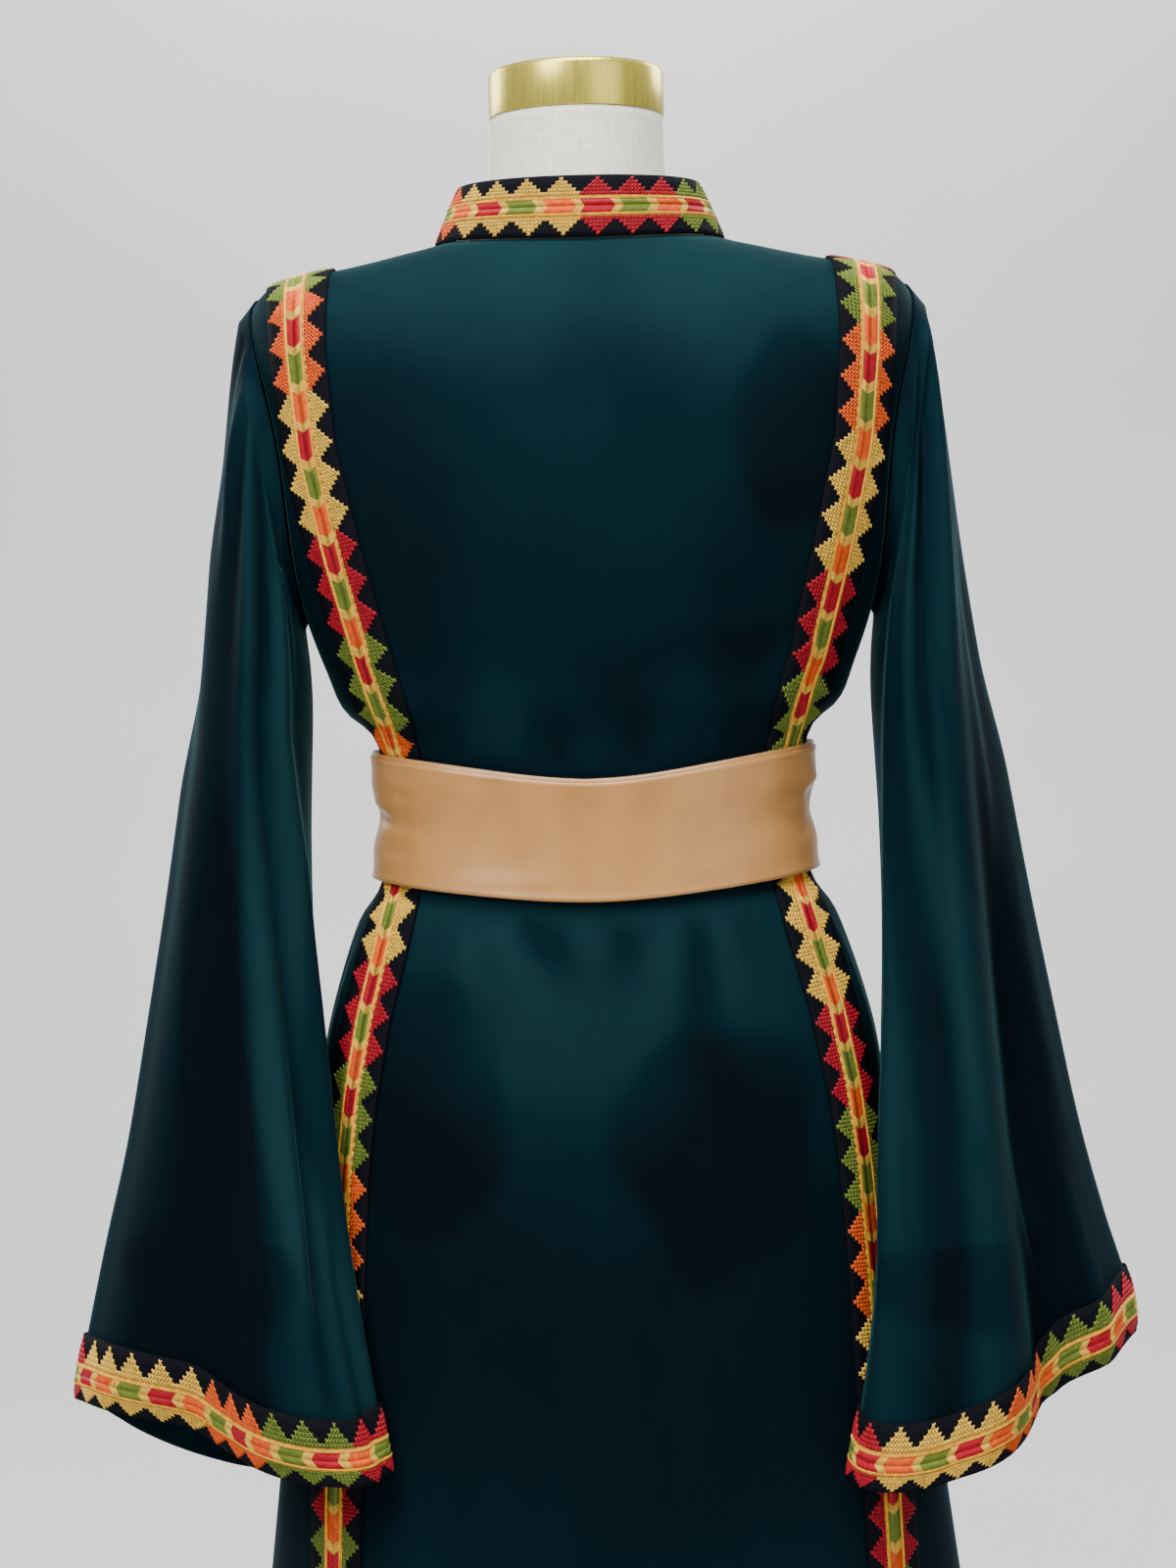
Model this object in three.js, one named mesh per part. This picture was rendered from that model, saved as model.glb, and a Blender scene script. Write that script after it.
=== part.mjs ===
// Long velvet thobe with embroidered tape trim and a satin belt, on a limbless dress form and its stand.
// Units are millimetres and +Z is up. The origin is on the floor under the middle of the base.
// The back of the thobe faces -Y, its front opening faces +Y, and the wearer's right side is at +X.

import * as THREE from 'three';

// Thicknesses and the small clearances between layers.
const VELVET = 2.0;
const TAPE = 1.2;
const SATIN = 1.4;
const SEAM_GAP = 0.3;
const TAPE_LIFT = 0.9;
const CUFF_LIFT = 1.4;
const BELT_LIFT = 4.9;
const BELT_LAYER_STEP = 2.2;
const SLEEVE_SEAM_LIFT = 1.6;

// Embroidered tape.
const TAPE_WIDTH = 43;
const TAPE_COLUMNS = 4;

// Levels of the body from the top of the neck to the hem of the thobe.
// z is the height at the middle of the back, at the side and at the middle of the front.
// side, back and front are the half width and the depths of the cloth's inner face.
// power is the squareness of the ring, and ease is how far the dress form lies inside the cloth.
const LEVEL_COLUMNS = ['zBack', 'zSide', 'zFront', 'side', 'back', 'front', 'power', 'ease'];
const LEVELS = {
  neckTop: [1530, 1530, 1530, 57, 57, 57, 2.0, 0],
  neckMiddle: [1496, 1496, 1490, 57.5, 58, 58, 2.0, 0],
  neckRoot: [1464, 1468, 1446, 64, 62, 63, 2.0, 0],
  neckFlare: [1450, 1454, 1420, 79, 67, 69, 2.0, 0.5],
  neckline: [1441, 1446, 1404, 93, 73, 77, 2.1, 0.6],
  yoke: [1428, 1440, 1385, 118, 84, 90, 2.2, 0.9],
  midShoulder: [1405, 1433, 1362, 150, 93, 101, 2.3, 4.5],
  bandShoulder: [1378, 1426, 1338, 185, 100, 109, 2.4, 9],
  shoulderEnd: [1352, 1415, 1314, 211, 104, 115, 2.5, 9],
  shoulderDrop: [1322, 1385, 1288, 219, 106, 120, 2.6, 11],
  armholeMiddle: [1286, 1325, 1260, 213, 107, 124, 2.7, 13],
  armholeLow: [1242, 1258, 1226, 201, 105, 122, 2.8, 21],
  underarm: [1200, 1202, 1196, 185, 101, 114, 2.7, 24],
  blouse: [1168, 1168, 1168, 173, 96, 103, 2.6, 25],
  blouseFold: [1144, 1144, 1144, 163, 94, 98, 2.5, 23],
  beltTop: [1122, 1122, 1122, 142, 88, 91, 2.5, 9],
  waist: [1070, 1070, 1070, 134, 84, 86, 2.5, 7],
  beltBottom: [1026, 1026, 1026, 142, 88, 89, 2.4, 8],
  highHip: [998, 998, 998, 159, 98, 97, 2.4, 14],
  hip: [935, 935, 935, 179, 109, 104, 2.4, 20],
  fullHip: [880, 880, 880, 188, 116, 110, 2.4, 25],
  formFoot: [790, 790, 790, 201, 124, 120, 2.4, 34],
  thigh: [640, 640, 640, 219, 135, 132, 2.4, 40],
  knee: [400, 400, 400, 246, 152, 150, 2.3, 40],
  calf: [200, 200, 200, 266, 164, 164, 2.3, 40],
  hem: [35, 35, 35, 285, 174, 176, 2.3, 40],
};
const LEVEL_NAMES = Object.keys(LEVELS);
const LEVEL_ROWS = Object.values(LEVELS);
const levelIndex = (name) => LEVEL_NAMES.indexOf(name);

// Middle line of the embroidered bands: height and distance from the middle of the body.
const BAND_LINE = [
  [1426, 185], [1370, 182], [1308, 176], [1240, 161], [1177, 144.5], [1116, 126], [1066, 119],
  [1022, 129], [945, 150], [893, 160], [843, 166], [783, 170], [640, 177], [400, 184], [35, 195],
];

// Armhole: an upright ellipse on the side of the body.
const ARMHOLE = { middle: 1307.5, halfHeight: 106.5, halfDepth: 57 };

// Soft folds of the body. Angles are degrees from the wearer's right side, through the front.
// Columns: angle at the top and at the foot, height of the top and of the foot, spread, depth.
const BODY_FOLDS = [
  [-142, -140, 860, 35, 13, 12],
  [-110, -108, 820, 35, 12, 13],
  [-70, -73, 840, 35, 12, 12],
  [-38, -40, 860, 35, 13, 13],
  [-8, -6, 900, 35, 12, 14],
  [38, 40, 860, 35, 13, 12],
  [72, 73, 820, 35, 12, 12],
  [108, 107, 840, 35, 12, 13],
  [142, 140, 860, 35, 13, 12],
  [172, 174, 900, 35, 12, 14],
];

// Sleeves: a row for each ring from the armhole to the hem, given by its outer and inner end.
const SLEEVE_COLUMNS = ['outerX', 'outerZ', 'innerX', 'innerZ', 'outerY', 'innerY', 'halfDepth'];
const SLEEVE_TOP_ROWS = [
  [227, 1402, 190, 1196, 0, 0, 61],
  [232, 1374, 189, 1185, 0, 0, 65],
  [238, 1326, 187, 1168, 0, -2, 69],
  [246, 1256, 186, 1142, 0, -6, 71],
  [257, 1176, 187, 1105, -2, -12, 70],
  [270, 1098, 188, 1056, -4, -22, 68],
  [283, 1018, 187, 992, -8, -36, 66],
  [297, 940, 183, 922, -12, -54, 66],
  [312, 861, 177, 848, -16, -74, 67],
];
// Each sleeve's last rows, drops of its hem and soft folds. A fold has the angle round the ring at
// its head and at its foot, the shares of the length where it starts and where the foot's angle is
// reached, its spread in degrees and its depth.
const FRONT_FOLDS = [[70, 55, 0.15, 1.0, 22, 8], [115, 115, 0.3, 1.0, 20, -8]];
const SLEEVES = {
  left: {
    side: -1,
    hemRows: [[328, 795, 169, 780, -20, -92, 68], [343, 728, 155, 704, -24, -108, 68],
      [350, 692, 143, 663, -26, -116, 67]],
    frontDrop: 40,
    backDrop: 1,
    hemWave: 6,
    folds: [[-84, -72, 0.32, 1.68, 26, -34], [-122, -124, 0.2, 1.0, 16, 6], [-150, -150, 0.3, 1.0, 18, 5],
      ...FRONT_FOLDS],
  },
  right: {
    side: 1,
    hemRows: [[327, 800, 173, 776, -20, -92, 68], [341, 752, 161, 698, -24, -108, 68],
      [345, 720, 151, 653, -26, -116, 67]],
    frontDrop: 8,
    backDrop: 20,
    hemWave: 5,
    folds: [[-68, -62, 0.32, 1.68, 18, -27], [-94, -94, 0.15, 1.0, 14, 7], [-150, -150, 0.3, 1.0, 18, 5],
      ...FRONT_FOLDS],
  },
};
const SLEEVE_RINGS = 18;
const SLEEVE_SIDES = 26;
const SLEEVE_CLEARANCE = 12;

// Collar: a standing band, leaning in towards the neck, that opens at the middle of the front.
const COLLAR = {
  wall: 2.2,
  footLift: 0.5,
  topSide: 78,
  topBack: 68,
  topFront: 75,
  zTopBack: 1483,
  zTopSide: 1485,
  zTopFront: 1447,
};
const COLLAR_SIDES = 24;

// Belt: height of its edges at the side, how far its upper and lower edges dip at the middle of the
// back and front, depth of its two side creases, how far it sinks into the bands' lift, and how far
// the inner layer stands above the outer one and reaches down inside it.
const BELT = {
  top: 1115,
  bottom: 1030,
  dipBack: [20, 15],
  dipFront: [8, 8],
  creaseDepth: 3,
  sink: 1.3,
  innerRise: 2.5,
  innerShare: 0.2,
};
const BELT_SIDES = 48;

// Dress form and stand.
const NECK_CAP = { radius: 58, height: 31, edge: 4 };
const STAND = { baseRadius: 185, baseHeight: 14, bossRadius: 34, bossHeight: 12, poleRadius: 14 };
const FORM_SIDES = 24;

const COLOURS = {
  velvet: [0x06222b, 0.8, 0.0],
  tape: [0x14151a, 0.75, 0.0],
  satin: [0xbb9465, 0.4, 0.0],
  linen: [0xe9e7dd, 0.9, 0.0],
  gold: [0xcdb26a, 0.2, 1.0],
  steel: [0xb9b9b6, 0.35, 0.9],
};

// Catmull-Rom value of every column of a table at a real-valued row number.
function tableRow(rows, columns, position) {
  const last = rows.length - 1;
  const clamped = Math.min(Math.max(position, 0), last);
  const start = Math.min(Math.floor(clamped), last - 1);
  const u = clamped - start;
  const pick = (offset) => rows[Math.min(Math.max(start + offset, 0), last)];
  const [before, from, to, after] = [pick(-1), pick(0), pick(1), pick(2)];
  const row = {};
  columns.forEach((name, index) => {
    const slopeFrom = (to[index] - before[index]) / 2;
    const slopeTo = (after[index] - from[index]) / 2;
    const change = to[index] - from[index];
    const bend = 3 * change - 2 * slopeFrom - slopeTo;
    const twist = slopeFrom + slopeTo - 2 * change;
    row[name] = from[index] + u * (slopeFrom + u * (bend + u * twist));
  });
  return row;
}

// Straight-line value between the rows of a two-column table whose first column falls.
function lineAt(rows, key) {
  const next = rows.findIndex((row) => row[0] <= key);
  if (next <= 0) return next === 0 ? rows[0][1] : rows[rows.length - 1][1];
  const [above, below] = [rows[next - 1], rows[next]];
  return below[1] + ((above[1] - below[1]) * (key - below[0])) / (above[0] - below[0]);
}

// Root of a function that changes sign once between low and high.
function bisect(low, high, value) {
  let [from, to] = [low, high];
  const sign = Math.sign(value(from));
  for (let step = 0; step < 40; step += 1) {
    const middle = (from + to) / 2;
    if (Math.sign(value(middle)) === sign) from = middle;
    else to = middle;
  }
  return (from + to) / 2;
}

const smooth = (u) => {
  const clamped = Math.min(Math.max(u, 0), 1);
  return clamped * clamped * (3 - 2 * clamped);
};

function angleBetween(a, b) {
  const turn = (a - b) / (2 * Math.PI);
  return 2 * Math.PI * (turn - Math.round(turn));
}

// Height of the soft folds off the plain ring, at an angle and a height.
function foldHeight(angle, z) {
  let height = 0;
  for (const fold of BODY_FOLDS) {
    const [angleTop, angleFoot, zTop, zFoot, spread, depth] = fold;
    const down = (zTop - z) / (zTop - zFoot);
    if (down <= 0) continue;
    const middle = THREE.MathUtils.degToRad(angleTop + (angleFoot - angleTop) * down);
    const across = angleBetween(angle, middle) / THREE.MathUtils.degToRad(spread);
    height += depth * down * smooth(down) * Math.exp(-across * across);
  }
  return height;
}

// Point of the body's plain surface at an angle about Z and a level.
function bodyPoint(angle, level) {
  const row = tableRow(LEVEL_ROWS, LEVEL_COLUMNS, level);
  const [cos, sin] = [Math.cos(angle), Math.sin(angle)];
  const depth = sin < 0 ? row.back : row.front;
  const zMiddle = sin < 0 ? row.zBack : row.zFront;
  const inverse = (Math.abs(cos) / row.side) ** row.power + (Math.abs(sin) / depth) ** row.power;
  const radius = inverse ** (-1 / row.power);
  const sideness = ((radius * cos) / row.side) ** 2;
  const z = zMiddle + (row.zSide - zMiddle) * sideness;
  const reach = radius + foldHeight(angle, z);
  return new THREE.Vector3(reach * cos, reach * sin, z);
}

// Unit normal of a surface function of two parameters, turned to the side of a guide direction.
function surfaceNormal(surface, u, v, stepU, stepV, guide) {
  const alongU = surface(u + stepU, v).sub(surface(u - stepU, v));
  const alongV = surface(u, v + stepV).sub(surface(u, v - stepV));
  const normal = alongU.cross(alongV).normalize();
  return normal.dot(guide) < 0 ? normal.negate() : normal;
}

function bodyNormal(angle, level) {
  const guide = new THREE.Vector3(Math.cos(angle), Math.sin(angle), 0.2);
  return surfaceNormal(bodyPoint, angle, level, 0.01, 0.02, guide);
}

const bodyLayer = (angle, level, lift) => {
  return bodyPoint(angle, level).addScaledVector(bodyNormal(angle, level), lift);
};

// Level whose side lies at a height, for the flat rings below the armholes.
const levelAtHeight = (z) => {
  return bisect(levelIndex('underarm'), levelIndex('hem'), (level) => bodyPoint(0, level).z - z);
};

// Geometry of a closed body whose triangles are turned so that they face out.
function closedGeometry(positions, indices) {
  const corner = (index) => new THREE.Vector3().fromArray(positions, 3 * index);
  let volume = 0;
  for (let index = 0; index < indices.length; index += 3) {
    const [a, b, c] = indices.slice(index, index + 3).map(corner);
    volume += a.dot(b.cross(c)) / 6;
  }
  const geometry = new THREE.BufferGeometry();
  geometry.setAttribute('position', new THREE.Float32BufferAttribute(positions, 3));
  geometry.setIndex(volume < 0 ? indices.reverse() : indices);
  return geometry;
}

// Closed solid between an outer and an inner grid of points, rows by columns.
// A ring joins its last column to its first, and a sheet gets walls at its side edges.
function wallGeometry(outer, inner, isRing) {
  const rows = outer.length;
  const columns = outer[0].length;
  const positions = [...outer.flat(), ...inner.flat()].flatMap((point) => [point.x, point.y, point.z]);
  const indices = [];
  const quad = (a, b, c, d) => indices.push(a, b, c, a, c, d);
  const outside = (row, column) => row * columns + (column % columns);
  const inside = (row, column) => rows * columns + outside(row, column);
  const spans = isRing ? columns : columns - 1;
  for (let row = 0; row < rows - 1; row += 1) {
    for (let column = 0; column < spans; column += 1) {
      const [r, c] = [row + 1, column + 1];
      quad(outside(row, column), outside(r, column), outside(r, c), outside(row, c));
      quad(inside(row, column), inside(row, c), inside(r, c), inside(r, column));
    }
    if (isRing) continue;
    quad(outside(row, 0), inside(row, 0), inside(row + 1, 0), outside(row + 1, 0));
    const edge = columns - 1;
    quad(outside(row, edge), outside(row + 1, edge), inside(row + 1, edge), inside(row, edge));
  }
  for (let column = 0; column < spans; column += 1) {
    const c = column + 1;
    const foot = rows - 1;
    quad(outside(0, column), outside(0, c), inside(0, c), inside(0, column));
    quad(outside(foot, column), inside(foot, column), inside(foot, c), outside(foot, c));
  }
  return closedGeometry(positions, indices);
}

// Closed solid inside one grid of rings, with flat ends.
function solidGeometry(rings) {
  const columns = rings[0].length;
  const middle = (ring) => {
    const sum = ring.reduce((total, point) => total.add(point), new THREE.Vector3());
    return sum.divideScalar(ring.length);
  };
  const points = [...rings.flat(), middle(rings[0]), middle(rings[rings.length - 1])];
  const indices = [];
  const at = (row, column) => row * columns + (column % columns);
  const [top, foot] = [points.length - 2, points.length - 1];
  for (let column = 0; column < columns; column += 1) {
    for (let row = 0; row < rings.length - 1; row += 1) {
      const [a, b] = [at(row, column), at(row + 1, column)];
      const [c, d] = [at(row + 1, column + 1), at(row, column + 1)];
      indices.push(a, b, c, a, c, d);
    }
    indices.push(top, at(0, column), at(0, column + 1));
    indices.push(foot, at(rings.length - 1, column + 1), at(rings.length - 1, column));
  }
  return closedGeometry(points.flatMap((point) => [point.x, point.y, point.z]), indices);
}

const thobe = new THREE.Group();

function addMesh(name, geometry, finish) {
  const [color, roughness, metalness] = COLOURS[finish];
  const mesh = new THREE.Mesh(geometry, new THREE.MeshStandardMaterial({ color, roughness, metalness }));
  mesh.name = name;
  thobe.add(mesh);
  return mesh;
}

// Angle of a band's middle line from the side seam, measured towards the back or the front.
function bandAngle(level, facing) {
  if (level <= levelIndex('bandShoulder')) return 0;
  const away = (angle) => {
    const point = bodyPoint(facing * angle, level);
    return point.x - lineAt(BAND_LINE, point.z);
  };
  return bisect(0, Math.PI / 2, away);
}

// Angle of the armhole's edge from the side, or 0 where the panels meet in a seam.
function armholeAngle(level, facing) {
  const outside = (angle) => {
    const point = bodyPoint(facing * angle, level);
    const up = (point.z - ARMHOLE.middle) / ARMHOLE.halfHeight;
    return Math.abs(point.y) - ARMHOLE.halfDepth * Math.sqrt(Math.max(1 - up * up, 0));
  };
  return outside(0) >= 0 ? 0 : bisect(0, Math.PI / 3, outside);
}

// Levels at which the body panels have a row of points, closer where the cloth curves most.
const isBlouse = (index) => index >= levelIndex('blouse') && index <= levelIndex('beltTop');

function panelLevels(from, to) {
  const levels = [];
  for (let index = levelIndex('neckline'); index < levelIndex('hem'); index += 1) {
    levels.push(index);
    if (index < levelIndex('underarm') || isBlouse(index)) levels.push(index + 0.5);
    if (index === levelIndex('bandShoulder')) levels.push(index + 0.14);
  }
  levels.push(levelIndex('hem'));
  return levels.filter((level) => level >= from && level <= to).sort((a, b) => a - b);
}

// Wall of velvet between two edges, each an angle for a level. Its edges keep half a seam's gap.
function velvetPanel(name, levels, edgeFrom, edgeTo, columns) {
  const outer = [];
  const inner = [];
  for (const level of levels) {
    const [edgeA, edgeB] = [edgeFrom(level), edgeTo(level)];
    const inset = (edge) => SEAM_GAP / 2 / bodyPoint(edge, level).setZ(0).length();
    const from = edgeA + inset(edgeA);
    const to = edgeB - inset(edgeB);
    const angles = Array.from({ length: columns + 1 }, (_, index) => from + ((to - from) * index) / columns);
    outer.push(angles.map((angle) => bodyLayer(angle, level, VELVET)));
    inner.push(angles.map((angle) => bodyLayer(angle, level, 0)));
  }
  return addMesh(name, wallGeometry(outer, inner, false), 'velvet');
}

// The six panels: middle and side back on each side, and the two halves of the middle front.
function addBodyPanels() {
  const all = panelLevels(levelIndex('neckline'), levelIndex('hem'));
  const sideLevels = all.filter((level) => level > levelIndex('bandShoulder'));
  const [back, front] = [-1, 1];
  const leftOf = (angle) => Math.PI - angle;
  velvetPanel('back_centre', all, (level) => bandAngle(level, back) - Math.PI,
    (level) => -bandAngle(level, back), 12);
  velvetPanel('front_centre_right', all, (level) => bandAngle(level, front), () => Math.PI / 2, 6);
  velvetPanel('front_centre_left', all, () => Math.PI / 2, (level) => leftOf(bandAngle(level, front)), 6);
  velvetPanel('back_side_right', sideLevels, (level) => -bandAngle(level, back),
    (level) => -armholeAngle(level, back), 4);
  velvetPanel('back_side_left', sideLevels, (level) => armholeAngle(level, back) - Math.PI,
    (level) => bandAngle(level, back) - Math.PI, 4);
  velvetPanel('front_side_right', sideLevels, (level) => armholeAngle(level, front),
    (level) => bandAngle(level, front), 4);
  velvetPanel('front_side_left', sideLevels, (level) => leftOf(bandAngle(level, front)),
    (level) => leftOf(armholeAngle(level, front)), 4);
}

// Stations of a band's middle line from the shoulder ridge down to the hem, as angle and level.
function bandStations(side, facing) {
  const shoulder = levelIndex('bandShoulder');
  const firstLevels = [0, 0.03, 0.12, 0.28, 0.5, 0.75, 1].map((step) => shoulder + step);
  const lowerLevels = panelLevels(shoulder + 1.2, levelIndex('hem'));
  return [...firstLevels, ...lowerLevels].map((level) => {
    const angle = facing * bandAngle(level, facing);
    return { level, angle: side > 0 ? angle : Math.PI - angle };
  });
}

// Point of the body beside a station, a distance across the band's run.
function besideStation(stations, index, distance, lift) {
  const { angle, level } = stations[index];
  const before = stations[Math.max(index - 1, 0)];
  const after = stations[Math.min(index + 1, stations.length - 1)];
  const run = bodyPoint(after.angle, after.level).sub(bodyPoint(before.angle, before.level));
  if (index === 0) run.set(0, Math.sign(Math.sin(after.angle)), 0);
  const across = run.cross(bodyNormal(angle, level)).normalize().multiplyScalar(distance);
  const [stepAngle, stepLevel] = [0.01, 0.02];
  const low = Math.max(level - stepLevel, 0);
  const alongAngle = bodyPoint(angle + stepAngle, level).sub(bodyPoint(angle - stepAngle, level));
  const alongLevel = bodyPoint(angle, level + stepLevel).sub(bodyPoint(angle, low));
  alongAngle.divideScalar(2 * stepAngle);
  alongLevel.divideScalar(level + stepLevel - low);
  const [aa, ab, bb] = [alongAngle.dot(alongAngle), alongAngle.dot(alongLevel), alongLevel.dot(alongLevel)];
  const [pa, pb] = [alongAngle.dot(across), alongLevel.dot(across)];
  const determinant = aa * bb - ab * ab;
  const moveAngle = (pa * bb - pb * ab) / determinant;
  const moveLevel = (pb * aa - pa * ab) / determinant;
  return bodyLayer(angle + moveAngle, Math.min(level + moveLevel, levelIndex('hem')), lift);
}

// One embroidered band on the body, from the shoulder ridge to the hem.
function addBodyBand(name, side, facing) {
  const stations = bandStations(side, facing);
  const layer = (lift) => stations.map((_, index) => {
    const row = [];
    for (let column = 0; column <= TAPE_COLUMNS; column += 1) {
      const distance = TAPE_WIDTH * (column / TAPE_COLUMNS - 0.5);
      const point = besideStation(stations, index, distance, lift);
      if (index === 0) point.y = facing * SEAM_GAP * 0.5;
      row.push(point);
    }
    return row;
  });
  const low = VELVET + TAPE_LIFT;
  const geometry = wallGeometry(layer(low + TAPE), layer(low), false);
  addMesh(name, geometry, 'tape');
}

// Collar, in the same turn as the body's rings.
function addCollar() {
  const gap = 0.004;
  const [outer, inner] = [[], []];
  const start = Math.PI / 2 + gap;
  const turn = 2 * (Math.PI - gap);
  for (const up of [1, 0.5, 0]) {
    const ring = (grow) => Array.from({ length: COLLAR_SIDES + 1 }, (_, index) => {
      const angle = start + (turn * index) / COLLAR_SIDES;
      const foot = bodyLayer(angle, levelIndex('neckline'), VELVET + COLLAR.footLift);
      const [cos, sin] = [Math.cos(angle), Math.sin(angle)];
      const isBack = sin < 0;
      const depth = isBack ? COLLAR.topBack : COLLAR.topFront;
      const zMiddle = isBack ? COLLAR.zTopBack : COLLAR.zTopFront;
      const z = zMiddle + (COLLAR.zTopSide - zMiddle) * cos * cos;
      const head = new THREE.Vector3(COLLAR.topSide * cos, depth * sin, z);
      const point = foot.lerp(head, up);
      return point.add(new THREE.Vector3(cos, sin, 0).multiplyScalar(grow));
    });
    outer.push(ring(COLLAR.wall));
    inner.push(ring(0));
  }
  addMesh('collar', wallGeometry(outer, inner, false), 'tape');
}

// Level and angle of the body's surface at a depth and a height on the side of the armhole.
function bodyAtSide(y, z) {
  const facing = y < 0 ? -1 : 1;
  const angleAt = (level) => bisect(0, Math.PI / 3, (angle) => {
    return Math.abs(bodyPoint(facing * angle, level).y) - Math.abs(y);
  });
  const level = bisect(levelIndex('bandShoulder') + 0.5, levelIndex('blouse'), (trial) => {
    return bodyPoint(facing * angleAt(trial), trial).z - z;
  });
  return { angle: facing * angleAt(level), level };
}

// A point moved out, level by level, until it is clear of the skirt.
function clearOfSkirt(point, clearance) {
  if (point.z > LEVELS.blouse[0]) return point;
  const level = levelAtHeight(point.z);
  const angle = Math.atan2(point.y, point.x);
  const skirt = bodyPoint(angle, level).setZ(0).length() + clearance;
  const reach = Math.hypot(point.x, point.y);
  if (reach >= skirt) return point;
  return point.set(skirt * Math.cos(angle), skirt * Math.sin(angle), point.z);
}

function sleeveFoldHeight(folds, turn, down) {
  let height = 0;
  for (const [angleHead, angleFoot, from, to, spread, depth] of folds) {
    const along = (down - from) / (to - from);
    if (along <= 0) continue;
    const middle = THREE.MathUtils.degToRad(angleHead + (angleFoot - angleHead) * along);
    const across = angleBetween(turn, middle) / THREE.MathUtils.degToRad(spread);
    height += depth * smooth(along * 2) * Math.exp(-across * across);
  }
  return height;
}

// Outer face of a sleeve at +X. turn is 0 at the outer end of a ring and +90 degrees at the front.
// down runs from 0 at the armhole to 1 at the hem.
function sleeveSurface(sleeve) {
  const rows = [...SLEEVE_TOP_ROWS, ...sleeve.hemRows];
  const headShare = 1 / rows.length;
  const ring = (turn, position, height) => {
    const row = tableRow(rows, SLEEVE_COLUMNS, position);
    const [cos, sin] = [Math.cos(turn), Math.sin(turn)];
    const blend = (outer, inner) => (outer + inner) / 2 + ((outer - inner) / 2) * cos;
    const drop = (sin > 0 ? sleeve.frontDrop : sleeve.backDrop) * sin * sin
      + sleeve.hemWave * Math.sin(2 * turn);
    const settle = smooth((position - 7) / (rows.length - 8));
    return new THREE.Vector3(
      blend(row.outerX, row.innerX) + height * cos,
      blend(row.outerY, row.innerY) + (row.halfDepth + height) * sin,
      blend(row.outerZ, row.innerZ) - drop * settle,
    );
  };
  const armhole = (turn) => {
    const depth = ARMHOLE.halfDepth * Math.sin(turn);
    const height = ARMHOLE.middle + ARMHOLE.halfHeight * Math.cos(turn);
    const { angle, level } = bodyAtSide(depth, height);
    return bodyLayer(angle, level, VELVET + SLEEVE_SEAM_LIFT);
  };
  const heads = new Map();
  return (turn, down) => {
    const key = turn.toFixed(6);
    if (!heads.has(key)) heads.set(key, armhole(turn));
    const head = heads.get(key).clone();
    if (down < headShare) return head.lerp(ring(turn, 0, 0), down / headShare);
    const position = (down - headShare) / (1 - headShare) * (rows.length - 1);
    const point = ring(turn, position, sleeveFoldHeight(sleeve.folds, turn, down));
    return clearOfSkirt(point, SLEEVE_CLEARANCE);
  };
}

// Grid of points of a sleeve's layer, lifted off its outer face, for a list of shares per column.
function sleeveLayer(surface, side, lift, downs) {
  return downs.map((downAt) => {
    return Array.from({ length: SLEEVE_SIDES }, (_, index) => {
      const turn = (2 * Math.PI * index) / SLEEVE_SIDES;
      const down = downAt(turn);
      const guide = surface(turn, down).sub(surface(turn + Math.PI, down));
      const safe = Math.min(Math.max(down, 0.02), 0.98);
      const normal = surfaceNormal(surface, turn, safe, 0.05, 0.015, guide);
      const point = surface(turn, down).addScaledVector(normal, lift);
      return point.setX(point.x * side);
    });
  });
}

// Share of the sleeve's length at a distance up from its hem.
function shareAboveHem(surface, turn, distance) {
  const step = 0.005;
  let [share, walked, last] = [1, 0, surface(turn, 1)];
  while (walked < distance) {
    share -= step;
    const next = surface(turn, share);
    walked += next.distanceTo(last);
    last = next;
  }
  return share;
}

function addSleeve(name, sleeve) {
  const surface = sleeveSurface(sleeve);
  const downs = Array.from({ length: SLEEVE_RINGS + 1 }, (_, index) => () => index / SLEEVE_RINGS);
  const outer = sleeveLayer(surface, sleeve.side, 0, downs);
  const inner = sleeveLayer(surface, sleeve.side, -VELVET, downs);
  addMesh(`sleeve_${name}`, wallGeometry(outer, inner, true), 'velvet');
  const tapeDowns = [TAPE_WIDTH, TAPE_WIDTH / 2, 0].map((distance) => {
    return (turn) => shareAboveHem(surface, turn, distance);
  });
  const tapeOuter = sleeveLayer(surface, sleeve.side, CUFF_LIFT + TAPE, tapeDowns);
  const tapeInner = sleeveLayer(surface, sleeve.side, CUFF_LIFT, tapeDowns);
  addMesh(`cuff_band_${name}`, wallGeometry(tapeOuter, tapeInner, true), 'tape');
}

// One layer of the belt, from its upper edge to its lower edge.
function addBeltLayer(name, lift, rise, shares) {
  const ringAt = (share, extra) => Array.from({ length: BELT_SIDES }, (_, index) => {
    const angle = (2 * Math.PI * index) / BELT_SIDES;
    const sin = Math.sin(angle);
    const [dipTop, dipFoot] = sin < 0 ? BELT.dipBack : BELT.dipFront;
    const dip = (dipTop + (dipFoot - dipTop) * share) * sin * sin;
    const z = BELT.top + rise - dip - share * (BELT.top - BELT.bottom);
    const level = levelAtHeight(z);
    const crease = Math.cos(angle) ** 8 * (0.5 - 0.5 * Math.cos(4 * Math.PI * share));
    return bodyLayer(angle, level, lift + extra + BELT.creaseDepth * crease);
  });
  const outer = shares.map((share) => ringAt(share, SATIN));
  const inner = shares.map((share) => ringAt(share, 0));
  addMesh(name, wallGeometry(outer, inner, true), 'satin');
}

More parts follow.
